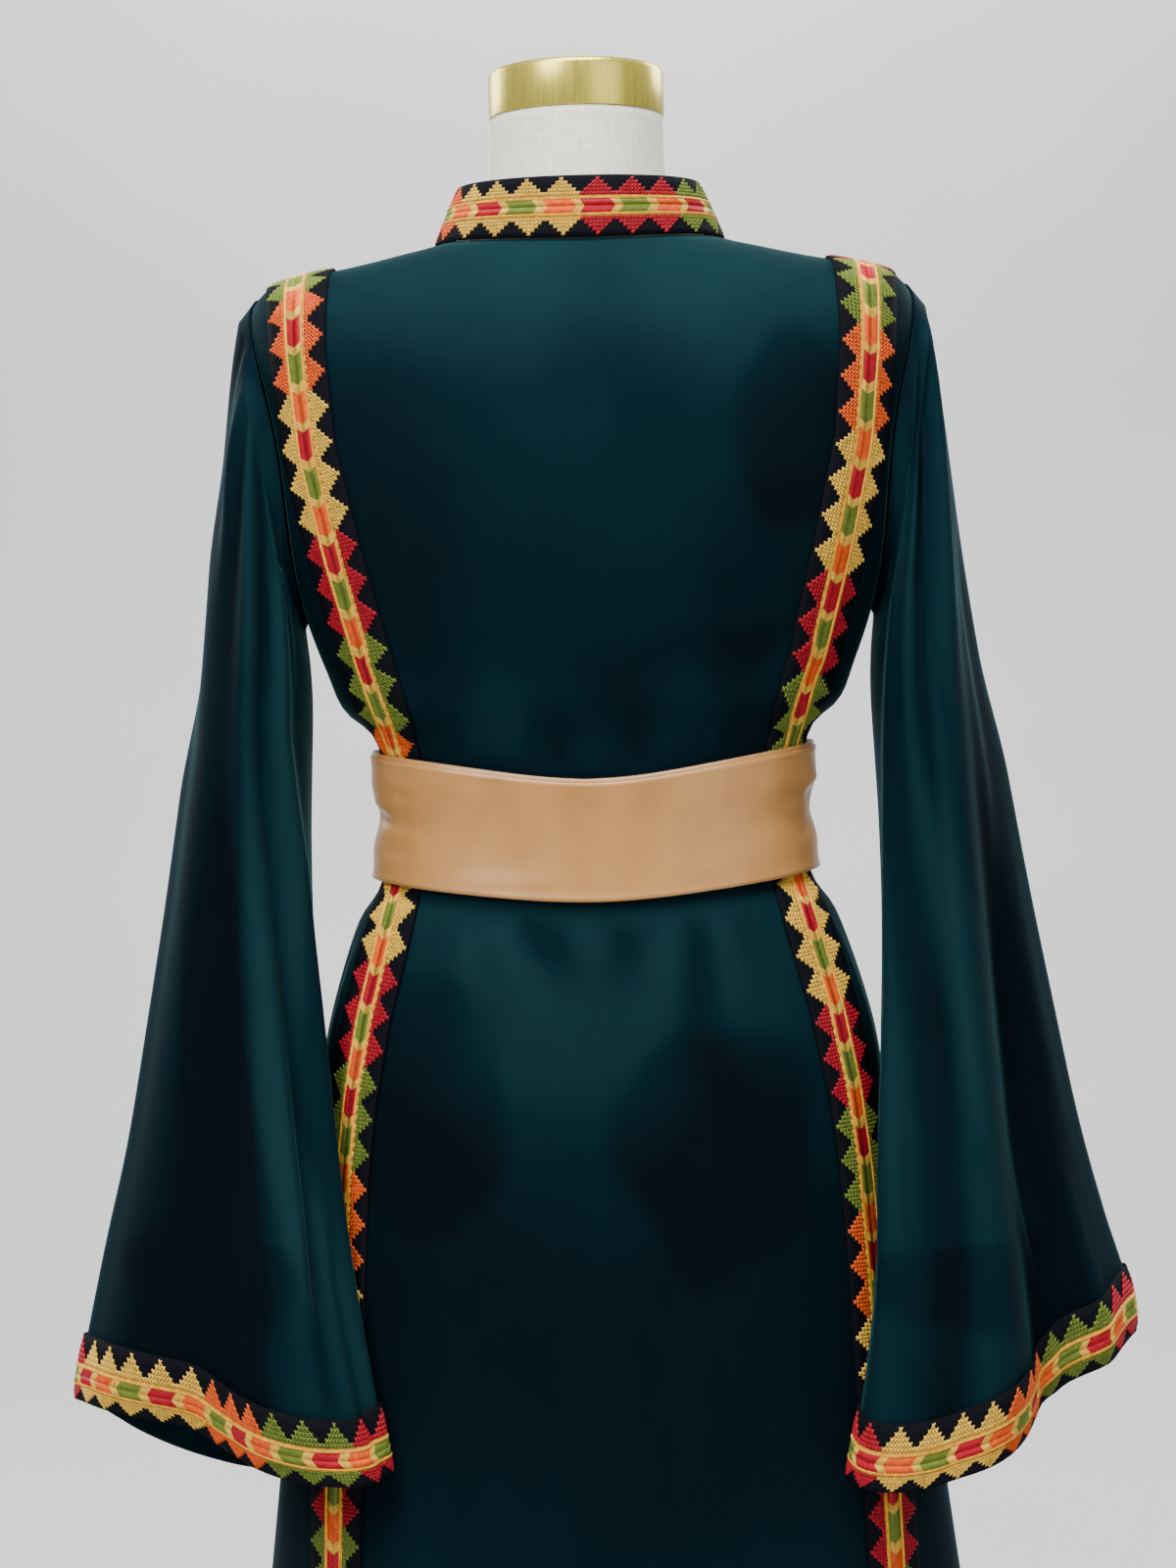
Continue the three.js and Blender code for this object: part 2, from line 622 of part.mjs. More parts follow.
function addBelt() {
  const lift = VELVET + BELT_LIFT - BELT.sink;
  addBeltLayer('belt_inner', lift, BELT.innerRise, [0, BELT.innerShare]);
  addBeltLayer('belt_outer', lift + BELT_LAYER_STEP, 0, [0, 0.25, 0.5, 0.75, 1]);
}

// Dress form: the body's own rings, inside the cloth by each level's ease.
function addForm() {
  const levels = [0, 0.5, 1, 1.5, 2, 2.5, 3, 3.5, ...panelLevels(4, levelIndex('formFoot'))];
  const rings = levels.map((level) => {
    const { ease } = tableRow(LEVEL_ROWS, LEVEL_COLUMNS, level);
    return Array.from({ length: FORM_SIDES }, (_, index) => {
      return bodyLayer((2 * Math.PI * index) / FORM_SIDES, level, -Math.max(ease, 0));
    });
  });
  const ends = [rings[0], rings[rings.length - 1]];
  ends.forEach((ring) => {
    const z = ring[0].z;
    ring.forEach((point) => point.setZ(z));
  });
  addMesh('form_torso', solidGeometry(rings), 'linen');
  return { top: rings[0][0].z, foot: rings[rings.length - 1][0].z };
}

function addLathe(name, profile, finish) {
  const points = profile.map(([radius, height]) => new THREE.Vector2(radius, height));
  const mesh = addMesh(name, new THREE.LatheGeometry(points, 36), finish);
  mesh.rotation.x = Math.PI / 2;
}

// Gilded cap on the neck, and the pole and round base that carry the form.
function addCapAndStand(form) {
  const foot = form.top + SEAM_GAP;
  const head = foot + NECK_CAP.height;
  const { radius, edge } = NECK_CAP;
  addLathe('neck_cap', [[0, foot], [radius - 0.6, foot], [radius, foot + 0.6], [radius, head - edge],
    [radius - edge * 0.3, head - edge * 0.3], [radius - edge, head], [0, head + 1]], 'gold');
  const { baseRadius, baseHeight, bossRadius, bossHeight, poleRadius } = STAND;
  const bossTop = baseHeight + bossHeight;
  addLathe('stand_base', [[0, 0], [baseRadius - 2, 0], [baseRadius, 2], [baseRadius, baseHeight - 4],
    [baseRadius - 4, baseHeight], [bossRadius + 3, baseHeight], [bossRadius, baseHeight + 3],
    [bossRadius, bossTop - 2], [bossRadius - 2, bossTop], [0, bossTop]], 'steel');
  addLathe('stand_pole', [[0, bossTop + SEAM_GAP], [poleRadius, bossTop + SEAM_GAP],
    [poleRadius, form.foot - SEAM_GAP], [0, form.foot - SEAM_GAP]], 'steel');
}

addBodyPanels();
addBodyBand('band_back_right', 1, -1);
addBodyBand('band_back_left', -1, -1);
addBodyBand('band_front_right', 1, 1);
addBodyBand('band_front_left', -1, 1);
addCollar();
Object.entries(SLEEVES).forEach(([name, sleeve]) => addSleeve(name, sleeve));
addBelt();
addCapAndStand(addForm());

export default thobe;
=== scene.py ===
"""Velvet thobe with embroidered tape and a satin belt on a limbless dress form.

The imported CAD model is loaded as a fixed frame. Each sub-assembly below builds its finished pieces
around it, in metres, with the back of the thobe facing -Y and the wearer's right side at +X.
"""

import logging
import math
from dataclasses import dataclass, field
from enum import Enum
from typing import Callable, Sequence

import bpy
import numpy as np
from mathutils import Matrix, Vector


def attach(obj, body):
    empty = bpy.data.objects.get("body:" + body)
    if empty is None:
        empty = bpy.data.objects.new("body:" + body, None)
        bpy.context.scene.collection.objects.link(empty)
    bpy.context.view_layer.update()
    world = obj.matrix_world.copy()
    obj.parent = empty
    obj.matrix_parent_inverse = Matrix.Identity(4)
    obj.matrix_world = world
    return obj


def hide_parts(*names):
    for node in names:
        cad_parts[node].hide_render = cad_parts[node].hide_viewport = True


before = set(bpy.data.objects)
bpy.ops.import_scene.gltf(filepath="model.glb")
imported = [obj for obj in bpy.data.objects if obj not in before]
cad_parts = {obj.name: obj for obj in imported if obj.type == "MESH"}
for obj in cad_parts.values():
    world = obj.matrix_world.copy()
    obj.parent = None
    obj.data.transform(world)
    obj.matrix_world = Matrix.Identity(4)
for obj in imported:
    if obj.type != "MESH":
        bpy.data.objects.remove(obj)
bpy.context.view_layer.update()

LOG = logging.getLogger("thobe")
MM = 0.001
Array = np.ndarray
Surface = Callable[[Array, Array], Array]

# Thicknesses and clearances between the layers, in millimetres.
VELVET = 2.0
TAPE = 1.2
SATIN = 1.4
SEAM_GAP = 0.3
TAPE_LIFT = 0.9
CUFF_LIFT = 1.4
BELT_LIFT = 4.9
BELT_LAYER_STEP = 2.2
BELT_SINK = 1.3
SLEEVE_SEAM_LIFT = 1.6
TAPE_WIDTH = 43.0

# Levels of the body from the top of the neck to the hem, in millimetres. Columns: height at the
# middle back, side and middle front, half width, back depth, front depth, squareness, form's ease.
LEVELS = {
    "neck_top": (1530, 1530, 1530, 57, 57, 57, 2.0, 0),
    "neck_middle": (1496, 1496, 1490, 57.5, 58, 58, 2.0, 0),
    "neck_root": (1464, 1468, 1446, 64, 62, 63, 2.0, 0),
    "neck_flare": (1450, 1454, 1420, 79, 67, 69, 2.0, 0.5),
    "neckline": (1441, 1446, 1404, 93, 73, 77, 2.1, 0.6),
    "yoke": (1428, 1440, 1385, 118, 84, 90, 2.2, 0.9),
    "mid_shoulder": (1405, 1433, 1362, 150, 93, 101, 2.3, 4.5),
    "band_shoulder": (1378, 1426, 1338, 185, 100, 109, 2.4, 9),
    "shoulder_end": (1352, 1415, 1314, 211, 104, 115, 2.5, 9),
    "shoulder_drop": (1322, 1385, 1288, 219, 106, 120, 2.6, 11),
    "armhole_middle": (1286, 1325, 1260, 213, 107, 124, 2.7, 13),
    "armhole_low": (1242, 1258, 1226, 201, 105, 122, 2.8, 21),
    "underarm": (1200, 1202, 1196, 185, 101, 114, 2.7, 24),
    "blouse": (1168, 1168, 1168, 173, 96, 103, 2.6, 25),
    "blouse_fold": (1144, 1144, 1144, 163, 94, 98, 2.5, 23),
    "belt_top": (1122, 1122, 1122, 142, 88, 91, 2.5, 9),
    "waist": (1070, 1070, 1070, 134, 84, 86, 2.5, 7),
    "belt_bottom": (1026, 1026, 1026, 142, 88, 89, 2.4, 8),
    "high_hip": (998, 998, 998, 159, 98, 97, 2.4, 14),
    "hip": (935, 935, 935, 179, 109, 104, 2.4, 20),
    "full_hip": (880, 880, 880, 188, 116, 110, 2.4, 25),
    "form_foot": (790, 790, 790, 201, 124, 120, 2.4, 34),
    "thigh": (640, 640, 640, 219, 135, 132, 2.4, 40),
    "knee": (400, 400, 400, 246, 152, 150, 2.3, 40),
    "calf": (200, 200, 200, 266, 164, 164, 2.3, 40),
    "hem": (35, 35, 35, 285, 174, 176, 2.3, 40),
}
LEVEL_NAMES = list(LEVELS)
LEVEL_ROWS = np.array(list(LEVELS.values()), float)

# Middle line of the bands: height and distance from the middle of the body, in millimetres.
BAND_LINE = (
    (1426, 185), (1370, 182), (1308, 176), (1240, 161), (1177, 144.5), (1116, 126), (1066, 119),
    (1022, 129), (945, 150), (893, 160), (843, 166), (783, 170), (640, 177), (400, 184), (35, 195),
)
ARMHOLE_MIDDLE, ARMHOLE_HALF_HEIGHT, ARMHOLE_HALF_DEPTH = 1307.5, 106.5, 57.0

# Soft folds of the skirt. Columns: angle at the top and foot in degrees from the wearer's right
# side, height of the top and foot, spread in degrees, depth.
SKIRT_FOLDS = (
    (-142, -140, 860, 35, 13, 12), (-110, -108, 820, 35, 12, 13), (-70, -73, 840, 35, 12, 12),
    (-38, -40, 860, 35, 13, 13), (-8, -6, 900, 35, 12, 14), (38, 40, 860, 35, 13, 12),
    (72, 73, 820, 35, 12, 12), (108, 107, 840, 35, 12, 13), (142, 140, 860, 35, 13, 12),
    (172, 174, 900, 35, 12, 14),
)

# Creases. Columns: angle and height at the start, angle and height at the end,
# spread in millimetres, height off the cloth (negative for a trough).
BODY_CREASES = (
    (-122, 1106, -113, 1172, 6, 1.9), (-127, 1106, -121, 1186, 7, 2.2), (-133, 1108, -131, 1160, 6, 1.8),
    (-106, 1102, -101, 1150, 6, -1.3), (-60, 1104, -66, 1180, 7, 2.0), (-54, 1106, -57, 1196, 8, 2.3),
    (-47, 1108, -47, 1166, 6, 1.8), (-71, 1102, -77, 1146, 6, -1.2), (-90, 1098, -93, 1128, 9, 1.2),
    (-128, 1010, -104, 922, 12, 2.6), (-120, 1012, -92, 955, 10, -1.8), (-134, 1012, -122, 880, 10, 2.2),
    (-62, 1010, -76, 905, 12, 2.4), (-55, 1012, -60, 868, 11, -2.2), (-49, 1012, -50, 905, 9, 2.2),
    (-98, 1006, -88, 962, 9, 1.5), (-80, 1006, -83, 948, 8, -1.3),
    (-152, 1188, -146, 1130, 9, 2.4), (-30, 1190, -35, 1128, 10, 2.6), (-24, 1170, -27, 1124, 8, -2.0),
    (-16, 1012, -12, 860, 10, 3.0), (-164, 1012, -168, 850, 10, 3.0), (-175, 1010, -174, 880, 8, -2.0),
    (24, 1190, 30, 1126, 9, 2.4), (44, 1110, 48, 1178, 8, 2.1), (56, 1108, 62, 1168, 7, 1.9),
    (76, 1104, 81, 1152, 8, -1.4), (124, 1108, 118, 1176, 8, 2.1), (136, 1110, 132, 1184, 8, 2.2),
    (101, 1104, 97, 1146, 8, 1.4), (156, 1188, 150, 1128, 9, 2.4), (50, 1010, 62, 905, 12, 2.6),
    (66, 1008, 84, 940, 10, -1.8), (128, 1010, 114, 915, 12, 2.6), (112, 1008, 98, 950, 10, -1.6),
    (20, 1010, 16, 870, 10, 2.6), (160, 1010, 163, 860, 10, 2.6),
    (-104, 1434, -128, 1398, 9, 0.8), (-76, 1434, -50, 1396, 9, 0.8),
)

# Sleeves. Columns: x and z of a ring's outer end, x and z of its inner end, y of both ends, and
# half its depth.
SLEEVE_TOP_ROWS = (
    (227, 1402, 190, 1196, 0, 0, 61), (232, 1374, 189, 1185, 0, 0, 65),
    (238, 1326, 187, 1168, 0, -2, 69), (246, 1256, 186, 1142, 0, -6, 71),
    (257, 1176, 187, 1105, -2, -12, 70), (270, 1098, 188, 1056, -4, -22, 68),
    (283, 1018, 187, 992, -8, -36, 66), (297, 940, 183, 922, -12, -54, 66),
    (312, 861, 177, 848, -16, -74, 67),
)
SLEEVE_SETTLE_ROW = 7
SLEEVE_CLEARANCE = 12.0
CLEAR_BELOW = 1168.0
CLEAR_LEVELS = 400


def level_index(name: str) -> int:
    """Returns the row number of a named level."""
    return LEVEL_NAMES.index(name)


def table_rows(rows: Array, position: Array) -> Array:
    """Interpolates every column of a table with Catmull-Rom curves.

    Args:
        rows: table of numbers, one row for each station.
        position: real-valued row numbers.

    Returns:
        One interpolated row for each position.
    """
    last = len(rows) - 1
    clamped = np.clip(position, 0, last)
    start = np.minimum(clamped.astype(int), last - 1)
    u = (clamped - start)[..., None]
    before, first, second, after = (rows[np.clip(start + step, 0, last)] for step in (-1, 0, 1, 2))
    slope_first, slope_second = (second - before) / 2, (after - first) / 2
    change = second - first
    bend = 3 * change - 2 * slope_first - slope_second
    twist = slope_first + slope_second - 2 * change
    return first + u * (slope_first + u * (bend + u * twist))


def smooth(value: Array) -> Array:
    """Returns a soft step from 0 at 0 to 1 at 1."""
    clamped = np.clip(value, 0, 1)
    return clamped * clamped * (3 - 2 * clamped)


def angle_between(first: Array, second: Array) -> Array:
    """Returns the signed angle from the second direction to the first, in radians."""
    turn = (first - second) / (2 * np.pi)
    return 2 * np.pi * (turn - np.round(turn))


def bisect(low: Array, high: Array, value: Callable[[Array], Array], steps: int = 34) -> Array:
    """Finds where a function changes sign, for many intervals at once.

    Args:
        low: lower ends of the intervals.
        high: upper ends of the intervals.
        value: function that changes sign once in each interval.
        steps: how often each interval is halved.

    Returns:
        The points of change.
    """
    first, second = np.array(low, float), np.array(high, float)
    sign = np.sign(value(first))
    for _ in range(steps):
        middle = (first + second) / 2
        same = np.sign(value(middle)) == sign
        first = np.where(same, middle, first)
        second = np.where(same, second, middle)
    return (first + second) / 2


def unit(vectors: Array) -> Array:
    """Returns vectors scaled to length 1."""
    return vectors / np.maximum(np.linalg.norm(vectors, axis=-1, keepdims=True), 1e-12)


def surface_normals(surface: Surface, u: Array, v: Array, step_u: float, step_v: float,
                    guide: Array) -> Array:
    """Unit normals of a surface, each turned to the side of its guide direction.

    Args:
        surface: function from two parameters to points.
        u: first parameter of each point.
        v: second parameter of each point.
        step_u: step for the difference along the first parameter.
        step_v: step for the difference along the second parameter.
        guide: direction that each normal must agree with.

    Returns:
        One unit vector for each point.
    """
    along_u = surface(u + step_u, v) - surface(u - step_u, v)
    along_v = surface(u, v + step_v) - surface(u, v - step_v)
    normal = unit(np.cross(along_u, along_v))
    return np.where((normal * guide).sum(-1, keepdims=True) < 0, -normal, normal)


class BodySurface:
    """Inner face of the thobe's body, as a function of the angle about Z and the level. In millimetres."""

    def plain_ring(self, angle: Array, level: Array) -> tuple[Array, Array]:
        """Radius and height of the ring without folds.

        Args:
            angle: angle about Z, in radians from +X.
            level: real-valued row number in the table of levels.

        Returns:
            The radius and the height of each point.
        """
        row = table_rows(LEVEL_ROWS, level)
        z_back, z_side, z_front, side, back, front, power = (row[..., column] for column in range(7))
        cos, sin = np.cos(angle), np.sin(angle)
        depth = np.where(sin < 0, back, front)
        z_middle = np.where(sin < 0, z_back, z_front)
        inverse = (np.abs(cos) / side) ** power + (np.abs(sin) / depth) ** power
        radius = inverse ** (-1 / power)
        sideness = (radius * cos / side) ** 2
        return radius, z_middle + (z_side - z_middle) * sideness

    def fold_height(self, angle: Array, z: Array) -> Array:
        """Height of the skirt's folds off the plain ring.

        Args:
            angle: angle about Z of each point.
            z: height of each point.

        Returns:
            Height off the ring.
        """
        height = np.zeros(np.broadcast(angle, z).shape)
        for angle_top, angle_foot, z_top, z_foot, spread, depth in SKIRT_FOLDS:
            down = np.clip((z_top - z) / (z_top - z_foot), 0, 1.1)
            middle = np.radians(angle_top + (angle_foot - angle_top) * down)
            across = angle_between(angle, middle) / math.radians(spread)
            height += depth * down * smooth(down) * np.exp(-across * across)
        return height

    def crease_height(self, angle: Array, radius: Array, z: Array) -> Array:
        """Height of the small creases, each a soft ridge or trough along a short line.

        Args:
            angle: angle about Z of each point.
            radius: radius of each point.
            z: height of each point.

        Returns:
            Height off the cloth.
        """
        height = np.zeros(np.broadcast(angle, z).shape)
        for angle_start, z_start, angle_end, z_end, spread, depth in BODY_CREASES:
            start, end = math.radians(angle_start), math.radians(angle_end)
            across = angle_between(angle, start) * radius
            run_across = angle_between(end, start) * radius
            run_up = z_end - z_start
            length_squared = run_across ** 2 + run_up ** 2
            along = (across * run_across + (z - z_start) * run_up) / length_squared
            away = (across * run_up - (z - z_start) * run_across) / np.sqrt(length_squared)
            wide = spread * (0.75 + 0.9 * np.clip(along, 0, 1))
            fade = smooth(along / 0.22) * smooth((1 - along) / 0.6)
            height += depth * fade * np.exp(-((away / wide) ** 2))
        return height

    def point(self, angle: Array, level: Array) -> Array:
        """Points of the cloth's inner face.

        Args:
            angle: angle about Z, in radians from +X.
            level: real-valued row number in the table of levels.

        Returns:
            Points, in millimetres.
        """
        radius, z = self.plain_ring(angle, level)
        reach = radius + self.fold_height(angle, z) + self.crease_height(angle, radius, z)
        return np.stack([reach * np.cos(angle), reach * np.sin(angle), z], -1)

    def normal(self, angle: Array, level: Array) -> Array:
        """Outward unit normals of the cloth."""
        guide = np.stack([np.cos(angle), np.sin(angle), np.full(np.shape(angle), 0.2)], -1)
        return surface_normals(self.point, angle, level, 0.01, 0.02, guide)

    def layer(self, angle: Array, level: Array, lift: Array | float) -> Array:
        """Points lifted off the inner face along its normals.

        Args:
            angle: angle about Z of each point.
            level: level of each point.
            lift: height above the inner face.

        Returns:
            Points, in millimetres.
        """
        lifted = np.broadcast_to(np.asarray(lift, float), np.shape(angle))[..., None]
        return self.point(angle, level) + self.normal(angle, level) * lifted

    def level_at_height(self, z: Array) -> Array:
        """Level of the flat rings below the armholes at a height.

        Args:
            z: heights.

        Returns:
            The levels.
        """
        levels = np.linspace(level_index("underarm"), level_index("hem"), CLEAR_LEVELS)
        heights = table_rows(LEVEL_ROWS, levels)[:, 1]
        return np.interp(-np.asarray(z, float), -heights, levels)


BODY = BodySurface()


def band_angle(level: Array, facing: int) -> Array:
    """Angle of a band's middle line from the side seam.

    Args:
        level: levels.
        facing: -1 for the back and 1 for the front.

    Returns:
        Angles towards the back or front, 0 above the band's start.
    """
    heights = [row[0] for row in reversed(BAND_LINE)]
    offsets = [row[1] for row in reversed(BAND_LINE)]

    def away(angle: Array) -> Array:
        """Returns how far an angle lies outside the band's line, in millimetres."""
        radius, z = BODY.plain_ring(facing * angle, level)
        reach = radius + BODY.fold_height(facing * angle, z)
        return reach * np.cos(angle) - np.interp(z, heights, offsets)

    found = bisect(np.zeros(level.shape), np.full(level.shape, np.pi / 2), away)
    return np.where(level <= level_index("band_shoulder"), 0.0, found)


def armhole_angle(level: Array, facing: int) -> Array:
    """Angle of the armhole's edge from the side.

    Args:
        level: levels.
        facing: -1 for the back and 1 for the front.

    Returns:
        Angles, 0 where the panels meet in a seam.
    """

    def outside(angle: Array) -> Array:
        """Returns how far an angle lies outside the armhole's edge, in millimetres."""
        radius, z = BODY.plain_ring(facing * angle, level)
        up = (z - ARMHOLE_MIDDLE) / ARMHOLE_HALF_HEIGHT
        edge = ARMHOLE_HALF_DEPTH * np.sqrt(np.maximum(1 - up * up, 0))
        return np.abs(radius * np.sin(angle)) - edge

    found = bisect(np.full(level.shape, 1e-9), np.full(level.shape, np.pi / 3), outside)
    return np.where(outside(np.full(level.shape, 1e-9)) >= 0, 0.0, found)


def mesh_object(name: str, points: Array, faces: Sequence[Sequence[int]],
                uvs: Array | None = None) -> bpy.types.Object:
    """Makes a smooth mesh object from points in millimetres.

    Args:
        name: name of the piece.
        points: vertices, in millimetres.
        faces: vertex numbers of each face.
        uvs: one map coordinate in metres for each vertex, if the piece has a map.

    Returns:
        The new object, at the origin.
    """
    mesh = bpy.data.meshes.new(name)
    mesh.from_pydata((points * MM).tolist(), [], [list(map(int, face)) for face in faces])
    if uvs is not None:
        layer = mesh.uv_layers.new(name="cloth")
        corners = np.zeros(len(mesh.loops), np.int32)
        mesh.loops.foreach_get("vertex_index", corners)
        layer.data.foreach_set("uv", (uvs[corners] * MM).astype(np.float32).ravel())
    mesh.polygons.foreach_set("use_smooth", [True] * len(mesh.polygons))
    mesh.update()
    obj = bpy.data.objects.new(name, mesh)
    bpy.context.scene.collection.objects.link(obj)
    return obj


def signed_volume(points: Array, faces: Array) -> float:
    """Returns six times the volume inside a closed body of quads, positive if they face out."""
    a, b, c, d = (points[faces[:, corner]] for corner in range(4))
    return float((np.cross(b, c) * a).sum() + (np.cross(c, d) * a).sum())


def wall_faces(rows: int, columns: int, is_ring: bool) -> tuple[Array, Array]:
    """Quads of a wall between an outer and an inner grid.

    Args:
        rows: rows of each grid.
        columns: columns of each grid.
        is_ring: True if the last column joins the first.

    Returns:
        The quads of the two broad faces, and the quads of the edges.
    """
    spans = columns if is_ring else columns - 1
    row, column = np.meshgrid(np.arange(rows - 1), np.arange(spans), indexing="ij")
    following = (column + 1) % columns
    a, b = row * columns + column, (row + 1) * columns + column
    c, d = (row + 1) * columns + following, row * columns + following
    lift = rows * columns
    broad = [np.stack([a, b, c, d], -1).reshape(-1, 4)]
    broad.append(np.stack([a + lift, d + lift, c + lift, b + lift], -1).reshape(-1, 4))
    foot = (rows - 1) * columns
    across = np.arange(spans)
    after = (across + 1) % columns
    edges = [np.stack([across, after, after + lift, across + lift], -1)]
    edges.append(np.stack([across + foot, across + foot + lift, after + foot + lift, after + foot], -1))
    if not is_ring:
        down = np.arange(rows - 1) * columns
        last = down + columns - 1
        edges.append(np.stack([down, down + lift, down + lift + columns, down + columns], -1))
        edges.append(np.stack([last, last + columns, last + columns + lift, last + lift], -1))
    return np.concatenate(broad), np.concatenate(edges)


def wall_object(name: str, outer: Array, inner: Array, is_ring: bool) -> bpy.types.Object:
    """Makes a closed wall of cloth with a map in real lengths and crisp edges.

    Args:
        name: name of the piece.
        outer: grid of outer points, rows by columns, in millimetres.
        inner: grid of inner points.
        is_ring: True if the last column joins the first.

    Returns:
        The new object.
    """
    rows, columns = outer.shape[:2]
    broad, edges = wall_faces(rows, columns, is_ring)
    points = np.concatenate([outer.reshape(-1, 3), inner.reshape(-1, 3)])
    faces = np.concatenate([broad, edges])
    if signed_volume(points, faces) < 0:
        faces = faces[:, ::-1]
    across = np.zeros((rows, columns))
    across[:, 1:] = np.cumsum(np.linalg.norm(np.diff(outer, axis=1), axis=2), 1)
    across -= across[:, columns // 2][:, None]
    down = np.zeros((rows, columns))
    down[1:] = np.cumsum(np.linalg.norm(np.diff(outer, axis=0), axis=2), 0)
    uvs = np.stack([across, -down], -1).reshape(-1, 2)
    obj = mesh_object(name, points, faces, np.concatenate([uvs, uvs]))
    flags = np.ones(len(faces), bool)
    flags[len(broad):] = False
    obj.data.polygons.foreach_set("use_smooth", flags)
    return obj


class Thread(Enum):
    """Colours of the embroidery, each the number of a material slot on a stitch piece."""

    GOLD = 0
    RED = 1
    GREEN = 2
    ORANGE = 3
    CORD = 4


@dataclass(frozen=True)
class PileAndLightLobe:
    """An oval of lighter or darker velvet, seen from the back: partly pile that lies another way, partly
    painted light and shade. In millimetres.

    The gain is added to the tone of pile and painted light and shade, the edge is the share of the radius
    over which it fades, and the lean is how far the oval moves across for each millimetre of height.
    """

    x: float
    z: float
    half_width: float
    half_height: float
    gain: float
    edge: float = 0.9
    lean: float = 0.0

    def at(self, x: Array, z: Array) -> Array:
        """Lighter or darker tone, of pile and painted light and shade, that the oval adds at places seen from
        the back.

        Args:
            x: distances from the middle of the body.
            z: heights.

        Returns:
            The gain at each place.
        """
        across = (x - self.x - self.lean * (z - self.z)) / self.half_width
        up = (z - self.z) / self.half_height
        turn = np.arctan2(up, across)
        ragged = 1 + 0.07 * np.sin(3 * turn + self.x) + 0.05 * np.sin(5 * turn + self.z)
        radius = np.hypot(across, up) * ragged
        return NAP_AND_LIGHT_CONTRAST * self.gain * smooth((1 - radius) / self.edge + 0.5)


# Ovals of brushed pile and of painted light and shade on the thobe's body: painted highlights on the
# shoulders and below the belt, painted shade low on the skirt.
BODY_PILE_AND_LIGHT_LOBES = (
    PileAndLightLobe(-95, 1418, 120, 62, 0.34), PileAndLightLobe(112, 1414, 74, 66, 0.42),
    PileAndLightLobe(20, 1425, 90, 40, 0.16), PileAndLightLobe(34, 1338, 96, 92, 0.20), PileAndLightLobe(-62, 1345, 70, 90, 0.10),
    PileAndLightLobe(137, 1316, 44, 62, -0.34, 0.4), PileAndLightLobe(-132, 1236, 52, 118, -0.20),
    PileAndLightLobe(84, 1152, 80, 42, -0.24, 0.5), PileAndLightLobe(-30, 1198, 74, 70, 0.07),
    PileAndLightLobe(112, 1232, 40, 60, -0.12, 0.6), PileAndLightLobe(-2, 972, 140, 92, 0.34),
    PileAndLightLobe(-18, 884, 66, 82, 0.26), PileAndLightLobe(-118, 893, 60, 80, -0.36, 0.3),
    PileAndLightLobe(72, 862, 62, 78, -0.36, 0.3), PileAndLightLobe(133, 940, 34, 96, 0.16),
    PileAndLightLobe(-128, 998, 40, 50, 0.12), PileAndLightLobe(0, 735, 300, 150, -0.24, 0.8),
    PileAndLightLobe(-70, 560, 90, 130, 0.12), PileAndLightLobe(110, 480, 80, 150, 0.16),
    PileAndLightLobe(-150, 380, 80, 140, -0.14, 0.5), PileAndLightLobe(20, 330, 90, 130, -0.16, 0.5),
    PileAndLightLobe(-60, 160, 130, 90, 0.14), PileAndLightLobe(170, 200, 80, 120, -0.12),
)
# The same for the sleeves, with painted highlights and shade along their folds: the left one has x below
# zero.
SLEEVE_PILE_AND_LIGHT_LOBES = (
    PileAndLightLobe(-246, 1120, 22, 270, -0.34, 0.35, 0.05), PileAndLightLobe(-203, 1130, 22, 240, 0.34, 0.6, 0.02),
    PileAndLightLobe(-176, 1010, 12, 200, -0.20, 0.6, 0.02), PileAndLightLobe(-268, 900, 26, 130, 0.10, 0.9, 0.12),
    PileAndLightLobe(-192, 824, 13, 125, 0.34, 0.7, -0.27), PileAndLightLobe(-166, 770, 9, 80, 0.26, 0.7, -0.24),
    PileAndLightLobe(-224, 860, 14, 110, -0.18, 0.7, -0.16), PileAndLightLobe(-254, 782, 60, 38, -0.32, 0.35),
    PileAndLightLobe(-206, 1376, 30, 46, -0.12, 0.6), PileAndLightLobe(228, 772, 78, 26, -0.30, 0.35),
    PileAndLightLobe(214, 1120, 9, 240, 0.34, 0.7, -0.06), PileAndLightLobe(196, 1050, 9, 170, -0.26, 0.6, -0.04),
    PileAndLightLobe(180, 1010, 8, 190, 0.24, 0.7, -0.02), PileAndLightLobe(236, 1010, 12, 220, -0.20, 0.7, -0.13),
    PileAndLightLobe(252, 900, 16, 150, 0.26, 0.8, -0.20), PileAndLightLobe(206, 840, 16, 110, 0.14, 0.8, -0.04),
    PileAndLightLobe(284, 880, 18, 110, -0.14, 0.7, -0.16), PileAndLightLobe(206, 1376, 30, 46, -0.12, 0.6),
)
# Base tone of the attribute, strength of the ovals, painted highlight on ridges and painted shade in troughs,
# painted light where the cloth tilts away from upright, and the relief height that gives the full painted
# fold shade.
NAP_AND_LIGHT_BASE = 0.3
NAP_AND_LIGHT_CONTRAST = 0.8
PAINTED_FOLD_SHADE = 0.38
PAINTED_TILT_LIGHT = 0.35
RELIEF_HEIGHT = 5.5


